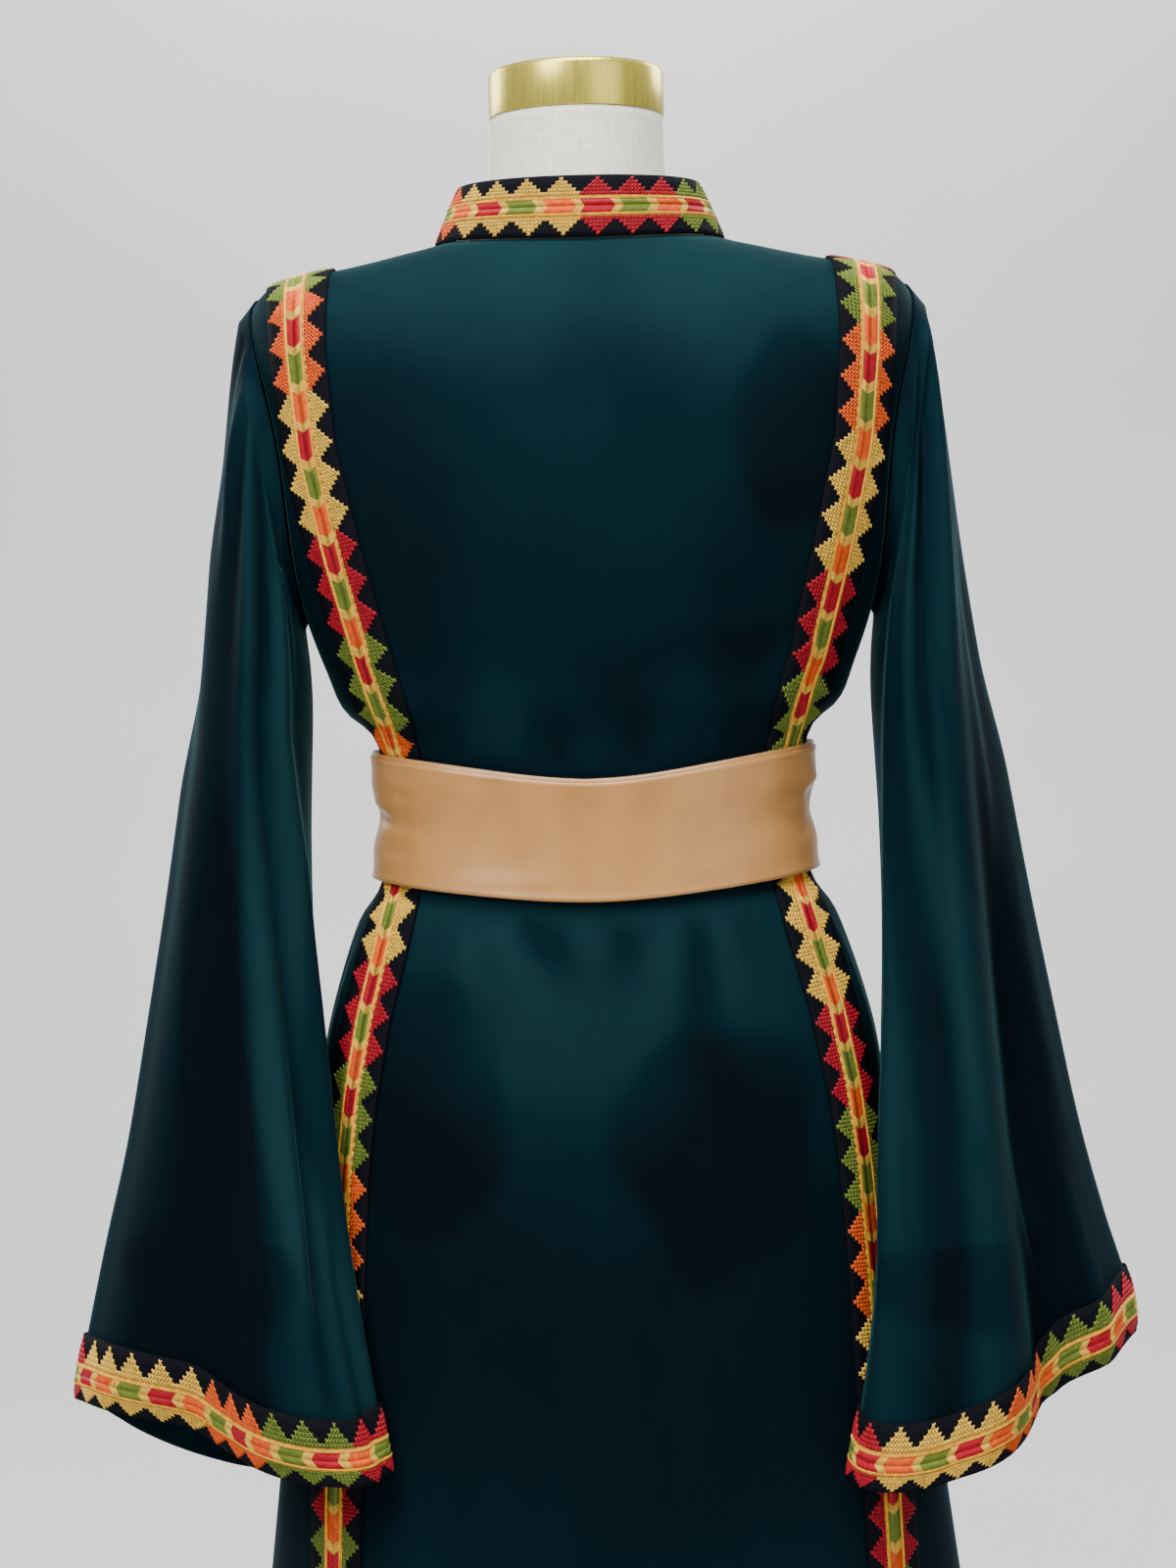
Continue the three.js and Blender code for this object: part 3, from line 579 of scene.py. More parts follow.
def set_nap_and_painted_light(obj: bpy.types.Object, outer: Array, relief: Array, lobes: Sequence[PileAndLightLobe]) -> None:
    """Gives each point of a velvet wall a tone of brushed pile and painted light and shade: painted
    highlights on ridges and where the cloth tilts away from upright, painted shade in troughs.

    Args:
        obj: closed wall, whose outer points come before its inner ones.
        outer: grid of its outer points, in millimetres.
        relief: height of the folds and creases, in millimetres, which sets their painted highlights and
            shade.
        lobes: ovals of brushed pile and painted light and shade.
    """
    x, z = outer[..., 0], outer[..., 2]
    mirrored = np.where(outer[..., 1] > 0, -1.0, 1.0)
    # Painted highlight on ridges and painted shade in troughs, then the ovals, then painted light where the
    # cloth tilts away from upright.
    nap_and_painted_light = NAP_AND_LIGHT_BASE + PAINTED_FOLD_SHADE * np.tanh(relief / RELIEF_HEIGHT)
    for lobe in lobes:
        nap_and_painted_light = nap_and_painted_light + lobe.at(x * mirrored, z)
    run, drop = np.gradient(outer, axis=1), np.gradient(outer, axis=0)
    tilt = np.abs(unit(np.cross(run, drop))[..., 2])
    nap_and_painted_light = np.clip(nap_and_painted_light + PAINTED_TILT_LIGHT * np.clip(tilt - 0.12, 0, 0.6), 0, 1)
    attribute = obj.data.attributes.new("nap_and_painted_light", "FLOAT", "POINT")
    attribute.data.foreach_set("value", np.concatenate([nap_and_painted_light.ravel(), nap_and_painted_light.ravel()]).astype(np.float32))


@dataclass(frozen=True)
class Shader:
    """Node material under construction, with short ways to add nodes and links."""

    material: bpy.types.Material

    def node(self, kind: str, **values: object) -> bpy.types.Node:
        """Adds a node and sets its properties or input values.

        Args:
            kind: type name of the node.
            **values: property names, or input names with spaces as underscores.

        Returns:
            The new node.
        """
        node = self.material.node_tree.nodes.new(kind)
        for key, value in values.items():
            if hasattr(node, key):
                setattr(node, key, value)
            else:
                node.inputs[key.replace("_", " ")].default_value = value
        return node

    def link(self, source: bpy.types.NodeSocket, target: bpy.types.NodeSocket) -> None:
        """Links two sockets."""
        self.material.node_tree.links.new(source, target)

    def noise(self, scale: float, detail: float, stretch: tuple[float, float, float]) -> bpy.types.NodeSocket:
        """Adds noise over the Object coordinates.

        Args:
            scale: repeats in a metre.
            detail: number of finer layers.
            stretch: factors on the three axes.

        Returns:
            Socket of the noise's value.
        """
        coords = self.node("ShaderNodeTexCoord")
        mapping = self.node("ShaderNodeMapping", Scale=stretch)
        self.link(coords.outputs["Object"], mapping.inputs["Vector"])
        noise = self.node("ShaderNodeTexNoise", Scale=scale, Detail=detail, Roughness=0.55)
        self.link(mapping.outputs["Vector"], noise.inputs["Vector"])
        return noise.outputs["Fac"]

    def ramp(self, value: bpy.types.NodeSocket, stops: Sequence[tuple[float, tuple]]) -> bpy.types.NodeSocket:
        """Adds a colour ramp.

        Args:
            value: socket that drives the ramp.
            stops: position and colour of each stop.

        Returns:
            Socket of the ramp's colour.
        """
        node = self.node("ShaderNodeValToRGB")
        elements = node.color_ramp.elements
        while len(elements) < len(stops):
            elements.new(0.5)
        for element, (position, color) in zip(elements, stops):
            element.position = position
            element.color = (*color, 1.0)
        self.link(value, node.inputs["Fac"])
        return node.outputs["Color"]

    def bump(self, height: bpy.types.NodeSocket, strength: float, distance: float,
             below: bpy.types.NodeSocket | None = None) -> bpy.types.NodeSocket:
        """Adds a bump.

        Args:
            height: socket with the height.
            strength: share of the height that is used.
            distance: height of the bump, in metres.
            below: normal that this bump is laid on.

        Returns:
            Socket of the changed normal.
        """
        node = self.node("ShaderNodeBump", Strength=strength, Distance=distance)
        self.link(height, node.inputs["Height"])
        if below is not None:
            self.link(below, node.inputs["Normal"])
        return node.outputs["Normal"]

    def math(self, operation: str, first: object, second: object) -> bpy.types.NodeSocket:
        """Adds a sum of two sockets or numbers.

        Args:
            operation: name of the operation.
            first: first socket or number.
            second: second socket or number.

        Returns:
            Socket of the result.
        """
        node = self.node("ShaderNodeMath", operation=operation)
        for index, value in enumerate((first, second)):
            if isinstance(value, bpy.types.NodeSocket):
                self.link(value, node.inputs[index])
            else:
                node.inputs[index].default_value = value
        return node.outputs[0]


def new_shader(name: str) -> tuple[Shader, bpy.types.Node]:
    """Starts a node material.

    Args:
        name: name of the material.

    Returns:
        The shader and its Principled node.
    """
    material = bpy.data.materials.new(name)
    material.use_nodes = True
    shader = Shader(material)
    principled = material.node_tree.nodes["Principled BSDF"]
    return shader, principled


def linear(red: float, green: float, blue: float) -> tuple[float, float, float]:
    """Returns a linear colour for sRGB values from 0 to 255."""
    shares = (value / 255 for value in (red, green, blue))
    return tuple(s / 12.92 if s <= 0.04045 else ((s + 0.055) / 1.055) ** 2.4 for s in shares)


@dataclass(frozen=True)
class Velvet:
    """Short dark green pile, coloured from an attribute of each point that holds its brushing together with
    painted light and shade.
    """

    name: str = "velvet"
    # Shaded, middle and lit tones of the one velvet: painted shade and painted highlights.
    shaded_tone: tuple = linear(0, 8, 15)
    middle: tuple = linear(2, 23, 31)
    light: tuple = linear(10, 40, 44)
    sheen: tuple = linear(66, 132, 138)
    sheen_weight: float = 0.32
    sheen_roughness: float = 0.24

    def build(self) -> bpy.types.Material:
        """Returns the velvet's material, with painted shaded and lit tones, uneven tone and fine pile."""
        shader, surface = new_shader(self.name)
        # The attribute holds brushed pile and painted light and shade, which the ramp turns into shaded and
        # lit tones.
        nap_and_painted_light = shader.node("ShaderNodeAttribute", attribute_name="nap_and_painted_light").outputs["Fac"]
        cloud = shader.noise(55.0, 3.0, (1.0, 1.0, 0.6))
        broad = shader.noise(14.0, 4.0, (1.0, 1.0, 0.45))
        uneven = shader.math("ADD", shader.math("MULTIPLY", broad, 0.22),
                             shader.math("MULTIPLY", cloud, 0.12))
        pile_and_light_tone = shader.math("ADD", nap_and_painted_light, shader.math("SUBTRACT", uneven, 0.17))
        color = shader.ramp(pile_and_light_tone, ((0.0, self.shaded_tone), (0.45, self.middle), (1.0, self.light)))
        shader.link(color, surface.inputs["Base Color"])
        surface.inputs["Roughness"].default_value = 0.85
        surface.inputs["Specular IOR Level"].default_value = 0.05
        surface.inputs["Sheen Weight"].default_value = self.sheen_weight
        surface.inputs["Sheen Roughness"].default_value = self.sheen_roughness
        surface.inputs["Sheen Tint"].default_value = (*self.sheen, 1.0)
        soft = shader.bump(cloud, 0.2, 0.0012)
        pile = shader.bump(shader.noise(1500.0, 2.0, (1.0, 1.0, 0.7)), 0.28, 0.0003, soft)
        shader.link(pile, surface.inputs["Normal"])
        return shader.material


@dataclass(frozen=True)
class WovenTape:
    """Flat black even-weave cloth that carries the embroidery."""

    name: str = "woven_tape"
    dark: tuple = linear(3, 4, 9)
    light: tuple = linear(11, 13, 20)
    threads: float = 1150.0

    def build(self) -> bpy.types.Material:
        """Returns the tape's material, a plain weave over its own map."""
        shader, surface = new_shader(self.name)
        coords = shader.node("ShaderNodeTexCoord")
        split = shader.node("ShaderNodeSeparateXYZ")
        shader.link(coords.outputs["UV"], split.inputs["Vector"])
        waves = []
        for axis in ("X", "Y"):
            turned = shader.math("MULTIPLY", split.outputs[axis], self.threads * 2 * math.pi)
            waves.append(shader.math("SINE", turned, 0.0))
        weave = shader.math("ADD", shader.math("MULTIPLY", shader.math("ADD", waves[0], waves[1]), 0.25), 0.5)
        shader.link(shader.ramp(weave, ((0.1, self.dark), (0.9, self.light))), surface.inputs["Base Color"])
        surface.inputs["Roughness"].default_value = 0.82
        surface.inputs["Specular IOR Level"].default_value = 0.08
        shader.link(shader.bump(weave, 0.6, 0.0003), surface.inputs["Normal"])
        return shader.material


@dataclass(frozen=True)
class Floss:
    """Softly shining embroidery thread."""

    name: str
    color: tuple
    roughness: float = 0.5
    shine: float = 0.25

    def build(self) -> bpy.types.Material:
        """Returns the thread's material, with small changes of tone along the work."""
        shader, surface = new_shader(self.name)
        tone = shader.noise(260.0, 2.0, (1.0, 1.0, 1.0))
        dark = tuple(channel * 0.78 for channel in self.color)
        light = tuple(min(channel * 1.18, 1.0) for channel in self.color)
        shader.link(shader.ramp(tone, ((0.3, dark), (0.7, light))), surface.inputs["Base Color"])
        surface.inputs["Roughness"].default_value = self.roughness
        surface.inputs["Specular IOR Level"].default_value = self.shine
        surface.inputs["Sheen Weight"].default_value = 0.04
        fibres = shader.bump(shader.noise(3000.0, 1.0, (1.0, 1.0, 1.0)), 0.3, 0.0002)
        shader.link(fibres, surface.inputs["Normal"])
        return shader.material


@dataclass(frozen=True)
class Satin:
    """Smooth lustrous cloth with a fine crosswise grain."""

    name: str = "satin"
    dark: tuple = linear(164, 114, 60)
    light: tuple = linear(177, 127, 71)
    roughness: float = 0.34
    sheen_weight: float = 0.12

    def build(self) -> bpy.types.Material:
        """Returns the satin's material, with soft wrinkles and a fine grain."""
        shader, surface = new_shader(self.name)
        wave = shader.noise(30.0, 3.0, (1.0, 1.0, 0.7))
        shader.link(shader.ramp(wave, ((0.35, self.dark), (0.68, self.light))), surface.inputs["Base Color"])
        surface.inputs["Roughness"].default_value = self.roughness
        surface.inputs["Specular IOR Level"].default_value = 0.5
        surface.inputs["Sheen Weight"].default_value = self.sheen_weight
        surface.inputs["Sheen Tint"].default_value = (*linear(255, 225, 190), 1.0)
        wrinkles = shader.bump(shader.noise(60.0, 2.0, (1.0, 1.0, 0.6)), 0.12, 0.0012)
        grain = shader.bump(shader.noise(2600.0, 1.0, (0.2, 0.2, 3.0)), 0.25, 0.00012, wrinkles)
        shader.link(grain, surface.inputs["Normal"])
        return shader.material


@dataclass(frozen=True)
class Linen:
    """Off-white linen stretched over the form."""

    name: str = "linen"
    dark: tuple = linear(214, 211, 198)
    light: tuple = linear(238, 237, 226)
    threads: float = 620.0

    def build(self) -> bpy.types.Material:
        """Returns the linen's material, a fine weave of uneven threads."""
        shader, surface = new_shader(self.name)
        slubs = shader.noise(self.threads, 2.0, (0.12, 0.12, 1.0))
        warp = shader.noise(self.threads, 2.0, (1.0, 1.0, 0.1))
        weave = shader.math("MULTIPLY", shader.math("ADD", slubs, warp), 0.5)
        shader.link(shader.ramp(weave, ((0.32, self.dark), (0.6, self.light))), surface.inputs["Base Color"])
        surface.inputs["Roughness"].default_value = 0.86
        surface.inputs["Specular IOR Level"].default_value = 0.2
        shader.link(shader.bump(weave, 0.45, 0.0003), surface.inputs["Normal"])
        return shader.material


@dataclass(frozen=True)
class Gilt:
    """Polished warm metal."""

    name: str = "gilt"
    color: tuple = linear(226, 208, 92)
    roughness: float = 0.22

    def build(self) -> bpy.types.Material:
        """Returns the metal's material, with faint brushing."""
        shader, surface = new_shader(self.name)
        brushed = shader.noise(380.0, 2.0, (1.0, 1.0, 0.05))
        dark = tuple(channel * 0.86 for channel in self.color)
        shader.link(shader.ramp(brushed, ((0.3, dark), (0.7, self.color))), surface.inputs["Base Color"])
        surface.inputs["Metallic"].default_value = 0.72
        rough = shader.math("ADD", shader.math("MULTIPLY", brushed, 0.12), self.roughness)
        shader.link(rough, surface.inputs["Roughness"])
        return shader.material


@dataclass
class Finishes:
    """Every material of the scene, built once."""

    velvet: bpy.types.Material = field(init=False)
    tape: bpy.types.Material = field(init=False)
    satin: bpy.types.Material = field(init=False)
    linen: bpy.types.Material = field(init=False)
    gold: bpy.types.Material = field(init=False)
    steel: bpy.types.Material = field(init=False)
    threads: list[bpy.types.Material] = field(init=False)

    def __post_init__(self) -> None:
        """Builds the materials."""
        self.velvet = Velvet().build()
        self.tape = WovenTape().build()
        self.satin = Satin().build()
        self.linen = Linen().build()
        self.gold = Gilt().build()
        self.steel = Gilt("steel", linear(196, 196, 194), 0.28).build()
        self.threads = [
            Floss("floss_gold", linear(224, 180, 66)).build(),
            Floss("floss_red", linear(170, 0, 30)).build(),
            Floss("floss_green", linear(104, 120, 36)).build(),
            Floss("floss_orange", linear(220, 86, 18)).build(),
            Floss("floss_cord", linear(230, 168, 48), 0.46, 0.25).build(),
        ]


@dataclass(frozen=True)
class SleeveShape:
    """Rows of one sleeve below the elbow, its side and how its hem drops at the front and back."""

    side: int
    hem_rows: tuple[tuple[float, ...], ...]
    front_drop: float
    back_drop: float
    hem_wave: float
    folds: tuple[tuple[float, ...], ...]
    creases: tuple["SleeveCrease", ...]


# Sleeve folds. Columns: angle round the ring at the head and foot, start, place where the foot's
# angle is reached, spread in degrees, depth.
LEFT_FOLDS = (
    (-84, -72, 0.32, 1.68, 26, -34), (-122, -124, 0.2, 1.0, 16, 6), (-150, -150, 0.3, 1.0, 18, 5),
    (70, 55, 0.15, 1.0, 22, 8), (115, 115, 0.3, 1.0, 20, -8),
)
RIGHT_FOLDS = (
    (-68, -62, 0.32, 1.68, 18, -27), (-94, -94, 0.15, 1.0, 14, 7), (-150, -150, 0.3, 1.0, 18, 5),
    (70, 55, 0.15, 1.0, 22, 8), (115, 115, 0.3, 1.0, 20, -8),
)


@dataclass(frozen=True)
class SleeveCrease:
    """A soft ridge or trough along a sleeve.

    The line is a list of angles round the sleeve and shares of its length. The spreads are the
    widths of its slopes towards the inner and the outer side of the arm, in millimetres.
    """

    line: tuple[tuple[float, float], ...]
    inner_spread: float
    outer_spread: float
    height: float

    def across(self, turn: Array, down: Array, speed: Array) -> Array:
        """Distance from the line in spreads.

        Args:
            turn: angle round the sleeve.
            down: share of its length.
            speed: millimetres for each radian round the sleeve.

        Returns:
            Distances, positive towards the outer side.
        """
        angles, shares = zip(*self.line)
        middle = np.radians(np.interp(down, shares, angles))
        away = angle_between(turn, middle) * speed
        return np.where(away > 0, away / self.outer_spread, away / self.inner_spread)

    def fade(self, down: Array) -> Array:
        """Share of the height along the line, soft at both ends and lower in the narrow upper arm.

        Args:
            down: share of the sleeve's length.

        Returns:
            Shares, 0 to 1.
        """
        first, last = self.line[0][1], self.line[-1][1]
        run_in = smooth((down - first + 0.04) / 0.09)
        grown = 0.5 + 0.5 * smooth((down - 0.06) / 0.3)
        return grown * run_in * smooth((last + 0.05 - down) / 0.16)


LEFT_CREASES = (
    SleeveCrease(((-70, 0.05), (-84, 0.35), (-92, 0.47), (-103, 0.58), (-118, 0.69), (-127, 0.79),
                  (-128, 0.92)), 13, 12, 9.0),
    SleeveCrease(((-96, 0.10), (-118, 0.21), (-121, 0.40), (-142, 0.52), (-149, 0.59), (-158, 0.67),
                  (-172, 0.82), (-176, 1.0)), 11, 11, 8.0),
    SleeveCrease(((-88, 0.12), (-96, 0.23), (-104, 0.41), (-124, 0.54), (-135, 0.65), (-140, 0.75),
                  (-142, 0.93)), 9, 8, -6.0),
    SleeveCrease(((-74, 0.0), (-63, 0.05), (-51, 0.22), (-48, 0.34)), 11, 11, 8.0),
    SleeveCrease(((-46, 0.0), (-38, 0.06), (-30, 0.20)), 8, 8, -6.0),
    SleeveCrease(((-112, 0.02), (-128, 0.16), (-136, 0.30)), 6, 6, 3.5),
    SleeveCrease(((-20, 0.30), (-59, 0.48), (-63, 0.69), (-62, 0.98)), 26, 26, 4.5),
    SleeveCrease(((-90, 0.72), (-96, 0.84), (-100, 1.05)), 12, 12, -5.0),
    SleeveCrease(((-158, 0.80), (-162, 0.90), (-160, 1.0)), 6, 6, -3.5),
)
RIGHT_CREASES = (
    SleeveCrease(((-50, 0.0), (-64, 0.06), (-95, 0.12), (-122, 0.23), (-140, 0.40), (-153, 0.60)),
                 12, 11, 5.5),
    SleeveCrease(((-30, 0.0), (-43, 0.07), (-85, 0.17), (-106, 0.28), (-123, 0.43), (-128, 0.60)),
                 12, 11, 6.0),
    SleeveCrease(((-36, 0.06), (-42, 0.12), (-50, 0.22), (-63, 0.32), (-74, 0.40), (-82, 0.51), (-87, 0.64),
                  (-89, 0.79), (-85, 0.95)), 16, 14, 10.0),
    SleeveCrease(((-66, 0.10), (-90, 0.26), (-104, 0.40), (-108, 0.55)), 8, 8, -6.0),
    SleeveCrease(((-30, 0.34), (-37, 0.51), (-54, 0.64), (-58, 0.84)), 12, 16, -4.0),
    SleeveCrease(((-74, 0.78), (-65, 0.88), (-58, 1.05)), 7, 7, 4.0),
    SleeveCrease(((-48, 0.74), (-42, 0.88), (-40, 1.05)), 9, 9, 4.5),
    SleeveCrease(((-144, 0.55), (-153, 0.70), (-160, 0.90)), 12, 12, 4.0),
    SleeveCrease(((-112, 0.62), (-116, 0.80), (-114, 1.05)), 16, 16, -5.0),
)
FRONT_CREASES = (
    SleeveCrease(((40, 0.0), (58, 0.08), (84, 0.22), (98, 0.40), (104, 0.60)), 8, 7, 5.0),
    SleeveCrease(((62, 0.02), (86, 0.12), (116, 0.28), (130, 0.50), (138, 0.70)), 9, 7, 5.0),
    SleeveCrease(((18, 0.02), (44, 0.16), (62, 0.34), (74, 0.54), (80, 0.76), (80, 0.97)), 14, 9, 7.0),
    SleeveCrease(((76, 0.14), (96, 0.34), (106, 0.52), (108, 0.72)), 9, 9, -4.5),
    SleeveCrease(((22, 0.34), (36, 0.54), (50, 0.74), (52, 1.05)), 14, 16, -5.0),
    SleeveCrease(((-6, 0.46), (-8, 0.70), (-8, 1.05)), 12, 12, 4.0),
    SleeveCrease(((110, 0.66), (114, 0.84), (112, 1.05)), 12, 12, 4.0),
)


LEFT_SLEEVE = SleeveShape(-1, (
    (328, 795, 169, 780, -20, -92, 68), (343, 728, 155, 704, -24, -108, 68),
    (350, 692, 143, 663, -26, -116, 67),
), 40.0, 1.0, 6.0, LEFT_FOLDS, LEFT_CREASES + FRONT_CREASES)
RIGHT_SLEEVE = SleeveShape(1, (
    (327, 800, 173, 776, -20, -92, 68), (341, 752, 161, 698, -24, -108, 68),
    (345, 720, 151, 653, -26, -116, 67),
), 8.0, 20.0, 5.0, RIGHT_FOLDS, RIGHT_CREASES + FRONT_CREASES)


class SleeveSurface:
    """Outer face of a sleeve at +X, from an angle round it and a share of its length. In millimetres."""

    def __init__(self, shape: SleeveShape) -> None:
        """Prepares the seam at the armhole.

        Args:
            shape: rows and drops of the sleeve.
        """
        self.shape = shape
        self.rows = np.array(SLEEVE_TOP_ROWS + shape.hem_rows, float)
        self.seam_turns = np.linspace(-np.pi, np.pi, 361)
        self.seam = self.armhole_seam(self.seam_turns)

    def armhole_seam(self, turn: Array) -> Array:
        """Points of the seam on the body.

        Args:
            turn: angle round the armhole, 0 at its top.

        Returns:
            Points, in millimetres.
        """
        depth = ARMHOLE_HALF_DEPTH * np.sin(turn)
        height = ARMHOLE_MIDDLE + ARMHOLE_HALF_HEIGHT * np.cos(turn)
        facing = np.where(depth < 0, -1.0, 1.0)

        def flat_point(angle: Array, level: Array) -> Array:
            """Returns the point of the plain ring, with its depth always positive."""
            radius, z = BODY.plain_ring(facing * angle, level)
            return np.stack([radius * np.cos(angle), radius * np.sin(angle), z], -1)

        def angle_at(level: Array) -> Array:
            """Returns the angle where a level reaches the seam's depth."""
            gap = np.abs(depth)
            return bisect(np.zeros_like(depth), np.full_like(depth, np.pi / 3),
                          lambda angle: flat_point(angle, level)[..., 1] - gap)

        low = np.full_like(depth, level_index("band_shoulder") + 0.5)
        high = np.full_like(depth, float(level_index("blouse")))
        level = bisect(low, high, lambda trial: flat_point(angle_at(trial), trial)[..., 2] - height)
        angle = np.where(np.abs(depth) < 1e-6, 0.0, facing * angle_at(level))
        return BODY.layer(angle, level, VELVET + SLEEVE_SEAM_LIFT)

    def fold_height(self, turn: Array, down: Array) -> Array:
        """Height of the folds and creases off the plain sleeve.

        Args:
            turn: angle round the sleeve.
            down: share of its length.

        Returns:
            Height off the sleeve.
        """
        height = np.zeros(np.broadcast(turn, down).shape)
        for angle_head, angle_foot, start, end, spread, depth in self.shape.folds:
            along = np.clip((down - start) / (end - start), 0, None)
            middle = np.radians(angle_head + (angle_foot - angle_head) * along)
            across = angle_between(turn, middle) / math.radians(spread)
            height += depth * smooth(along * 2) * np.exp(-across * across)
        row = table_rows(self.rows, self.position(down))
        half = np.hypot(row[..., 0] - row[..., 2], row[..., 1] - row[..., 3]) / 2
        speed = np.hypot(half * np.sin(turn), row[..., 6] * np.cos(turn))
        for crease in self.shape.creases:
            away = crease.across(turn, down, speed)
            height += crease.height * crease.fade(down) * smooth(down / 0.07) * np.exp(-away * away)
        return height

    def position(self, down: Array) -> Array:
        """Returns the row number at a share of the length, 0 above the first row."""
        head_share = 1 / len(self.rows)
        return np.clip((down - head_share) / (1 - head_share), 0, None) * (len(self.rows) - 1)

    def ring(self, turn: Array, position: Array, height: Array) -> Array:
        """Points of the rings below the seam.

        Args:
            turn: angle round the ring.
            position: real-valued row number.
            height: height of the folds.

        Returns:
            Points, in millimetres.
        """
        row = table_rows(self.rows, position)
        outer_x, outer_z, inner_x, inner_z, outer_y, inner_y, half_depth = (row[..., i] for i in range(7))
        cos, sin = np.cos(turn), np.sin(turn)
        drop = np.where(sin > 0, self.shape.front_drop, self.shape.back_drop) * sin * sin
        drop = drop + self.shape.hem_wave * np.sin(2 * turn)
        settle = smooth((position - SLEEVE_SETTLE_ROW) / (len(self.rows) - 1 - SLEEVE_SETTLE_ROW))

        def blend(outer: Array, inner: Array) -> Array:
            """Returns the value round the ring between its outer and inner ends."""
            return (outer + inner) / 2 + (outer - inner) / 2 * cos

        x = blend(outer_x, inner_x) + height * cos
        y = blend(outer_y, inner_y) + (half_depth + height) * sin
        return np.stack([x, y, blend(outer_z, inner_z) - drop * settle], -1)

    def point(self, turn: Array, down: Array) -> Array:
        """Points of the sleeve's outer face.

        Args:
            turn: angle round the sleeve, 0 on its outer side and +90 degrees at the front.
            down: share of its length, 0 at the armhole and 1 at the hem.

        Returns:
            Points, in millimetres.
        """
        turn, down = np.broadcast_arrays(np.asarray(turn, float), np.asarray(down, float))
        head_share = 1 / len(self.rows)
        wrapped = angle_between(turn, 0.0)
        seam = np.stack([np.interp(wrapped, self.seam_turns, self.seam[:, axis]) for axis in range(3)], -1)
        height = self.fold_height(turn, down)
        points = self.ring(turn, self.position(down), height)
        level = BODY.level_at_height(points[..., 2])
        angle = np.arctan2(points[..., 1], points[..., 0])
        radius, z = BODY.plain_ring(angle, level)
        skirt = radius + BODY.fold_height(angle, z) + SLEEVE_CLEARANCE
        reach = np.hypot(points[..., 0], points[..., 1])
        is_tight = (points[..., 2] <= CLEAR_BELOW) & (reach < skirt)
        pushed = np.stack([skirt * np.cos(angle), skirt * np.sin(angle), points[..., 2]], -1)
        points = np.where(is_tight[..., None], pushed, points)
        share = np.clip(down / head_share, 0, 1)[..., None]
        head = seam + (self.ring(turn, np.zeros_like(down), height) - seam) * share
        return np.where((down < head_share)[..., None], head, points)

    def layer(self, turn: Array, down: Array, lift: Array | float) -> Array:
        """Points lifted off the outer face along its normals, on the sleeve's own side.

        Args:
            turn: angle round the sleeve.
            down: share of its length.
            lift: height above the outer face.

        Returns:
            Points, in millimetres.
        """
        guide = self.point(turn, down) - self.point(turn + np.pi, down)
        safe = np.clip(down, 0.02, 0.98)
        normal = surface_normals(self.point, turn, safe, 0.05, 0.015, guide)
        lifted = np.broadcast_to(np.asarray(lift, float), np.shape(down))[..., None]
        points = self.point(turn, down) + normal * lifted
        points[..., 0] *= self.shape.side
        return points

    def share_above_hem(self, turn: Array, distance: float) -> Array:
        """Share of the length at a distance up from the hem, for each angle.

        Args:
            turn: angles round the sleeve.
            distance: distance up from the hem, in millimetres.

        Returns:
            Shares of the length.
        """
        steps = 1 - np.arange(60) * 0.004
        points = np.stack([self.point(turn, np.full_like(turn, share)) for share in steps])
        lengths = np.linalg.norm(np.diff(points, axis=0), axis=-1)
        walked = np.concatenate([np.zeros((1, len(turn))), np.cumsum(lengths, 0)])
        return np.array([np.interp(distance, walked[:, column], steps) for column in range(len(turn))])


@dataclass
class Strip:
    """A strip of tape as a grid of points and normals, with lengths along and across it.

    The grid has one row for each place along the strip and one column for each place across it.
    """

    outer: Array
    inner: Array
    is_ring: bool = False

    def __post_init__(self) -> None:
        """Measures the strip."""
        middle = self.outer[:, self.outer.shape[1] // 2]
        if self.is_ring:
            middle = np.concatenate([middle, middle[:1]])
        steps = np.linalg.norm(np.diff(middle, axis=0), axis=1)
        self.lengths = np.concatenate([[0.0], np.cumsum(steps)])
        self.normals = unit(self.outer - self.inner)

    @property
    def length(self) -> float:
        """Length of the strip along its middle."""
        return float(self.lengths[-1])

    def place(self, along: Array, across: Array, height: Array) -> Array:
        """Points over the strip's outer face.

        Args:
            along: distance from the strip's start, in millimetres.
            across: distance from its middle line.
            height: height above its outer face.

        Returns:
            Points, in millimetres.
        """
        rows, columns = self.outer.shape[:2]
        position = np.interp(along, self.lengths, np.arange(len(self.lengths)))
        first = np.clip(position.astype(int), 0, len(self.lengths) - 2)
        u = (position - first)[..., None]
        second = (first + 1) % rows
        slot = np.clip((across / TAPE_WIDTH + 0.5) * (columns - 1), 0, columns - 1)
        left = np.minimum(slot.astype(int), columns - 2)
        v = (slot - left)[..., None]

        def sample(grid: Array) -> Array:
            """Returns the grid's values between its four nearest points."""
            near = grid[first, left] * (1 - v) + grid[first, left + 1] * v
            far = grid[second, left] * (1 - v) + grid[second, left + 1] * v
            return near * (1 - u) + far * u

        return sample(self.outer) + sample(self.normals) * height[..., None]


# Chart of the embroidery, in millimetres. A stepped triangle is nine rows of cross-stitches
# long, and its longest row has five.
PITCH = 22.8
TRIANGLE_LENGTHS = (1, 2, 3, 4, 5, 4, 3, 2, 1)
STITCH_ALONG = PITCH / len(TRIANGLE_LENGTHS)
STITCH_ACROSS = 2.5
STITCH_REACH = 0.47
STITCH_HALF_WIDTH = 0.68
TRIANGLE_FOOT = 7.5
BRAID_HALF_WIDTH = 5.0
CELL_PITCH = 24.8
CELL_GOLD = 6.0
CHEVRON_SLANT = 3.6
THREAD_STEP = 1.1
CORD_STEP = 1.6

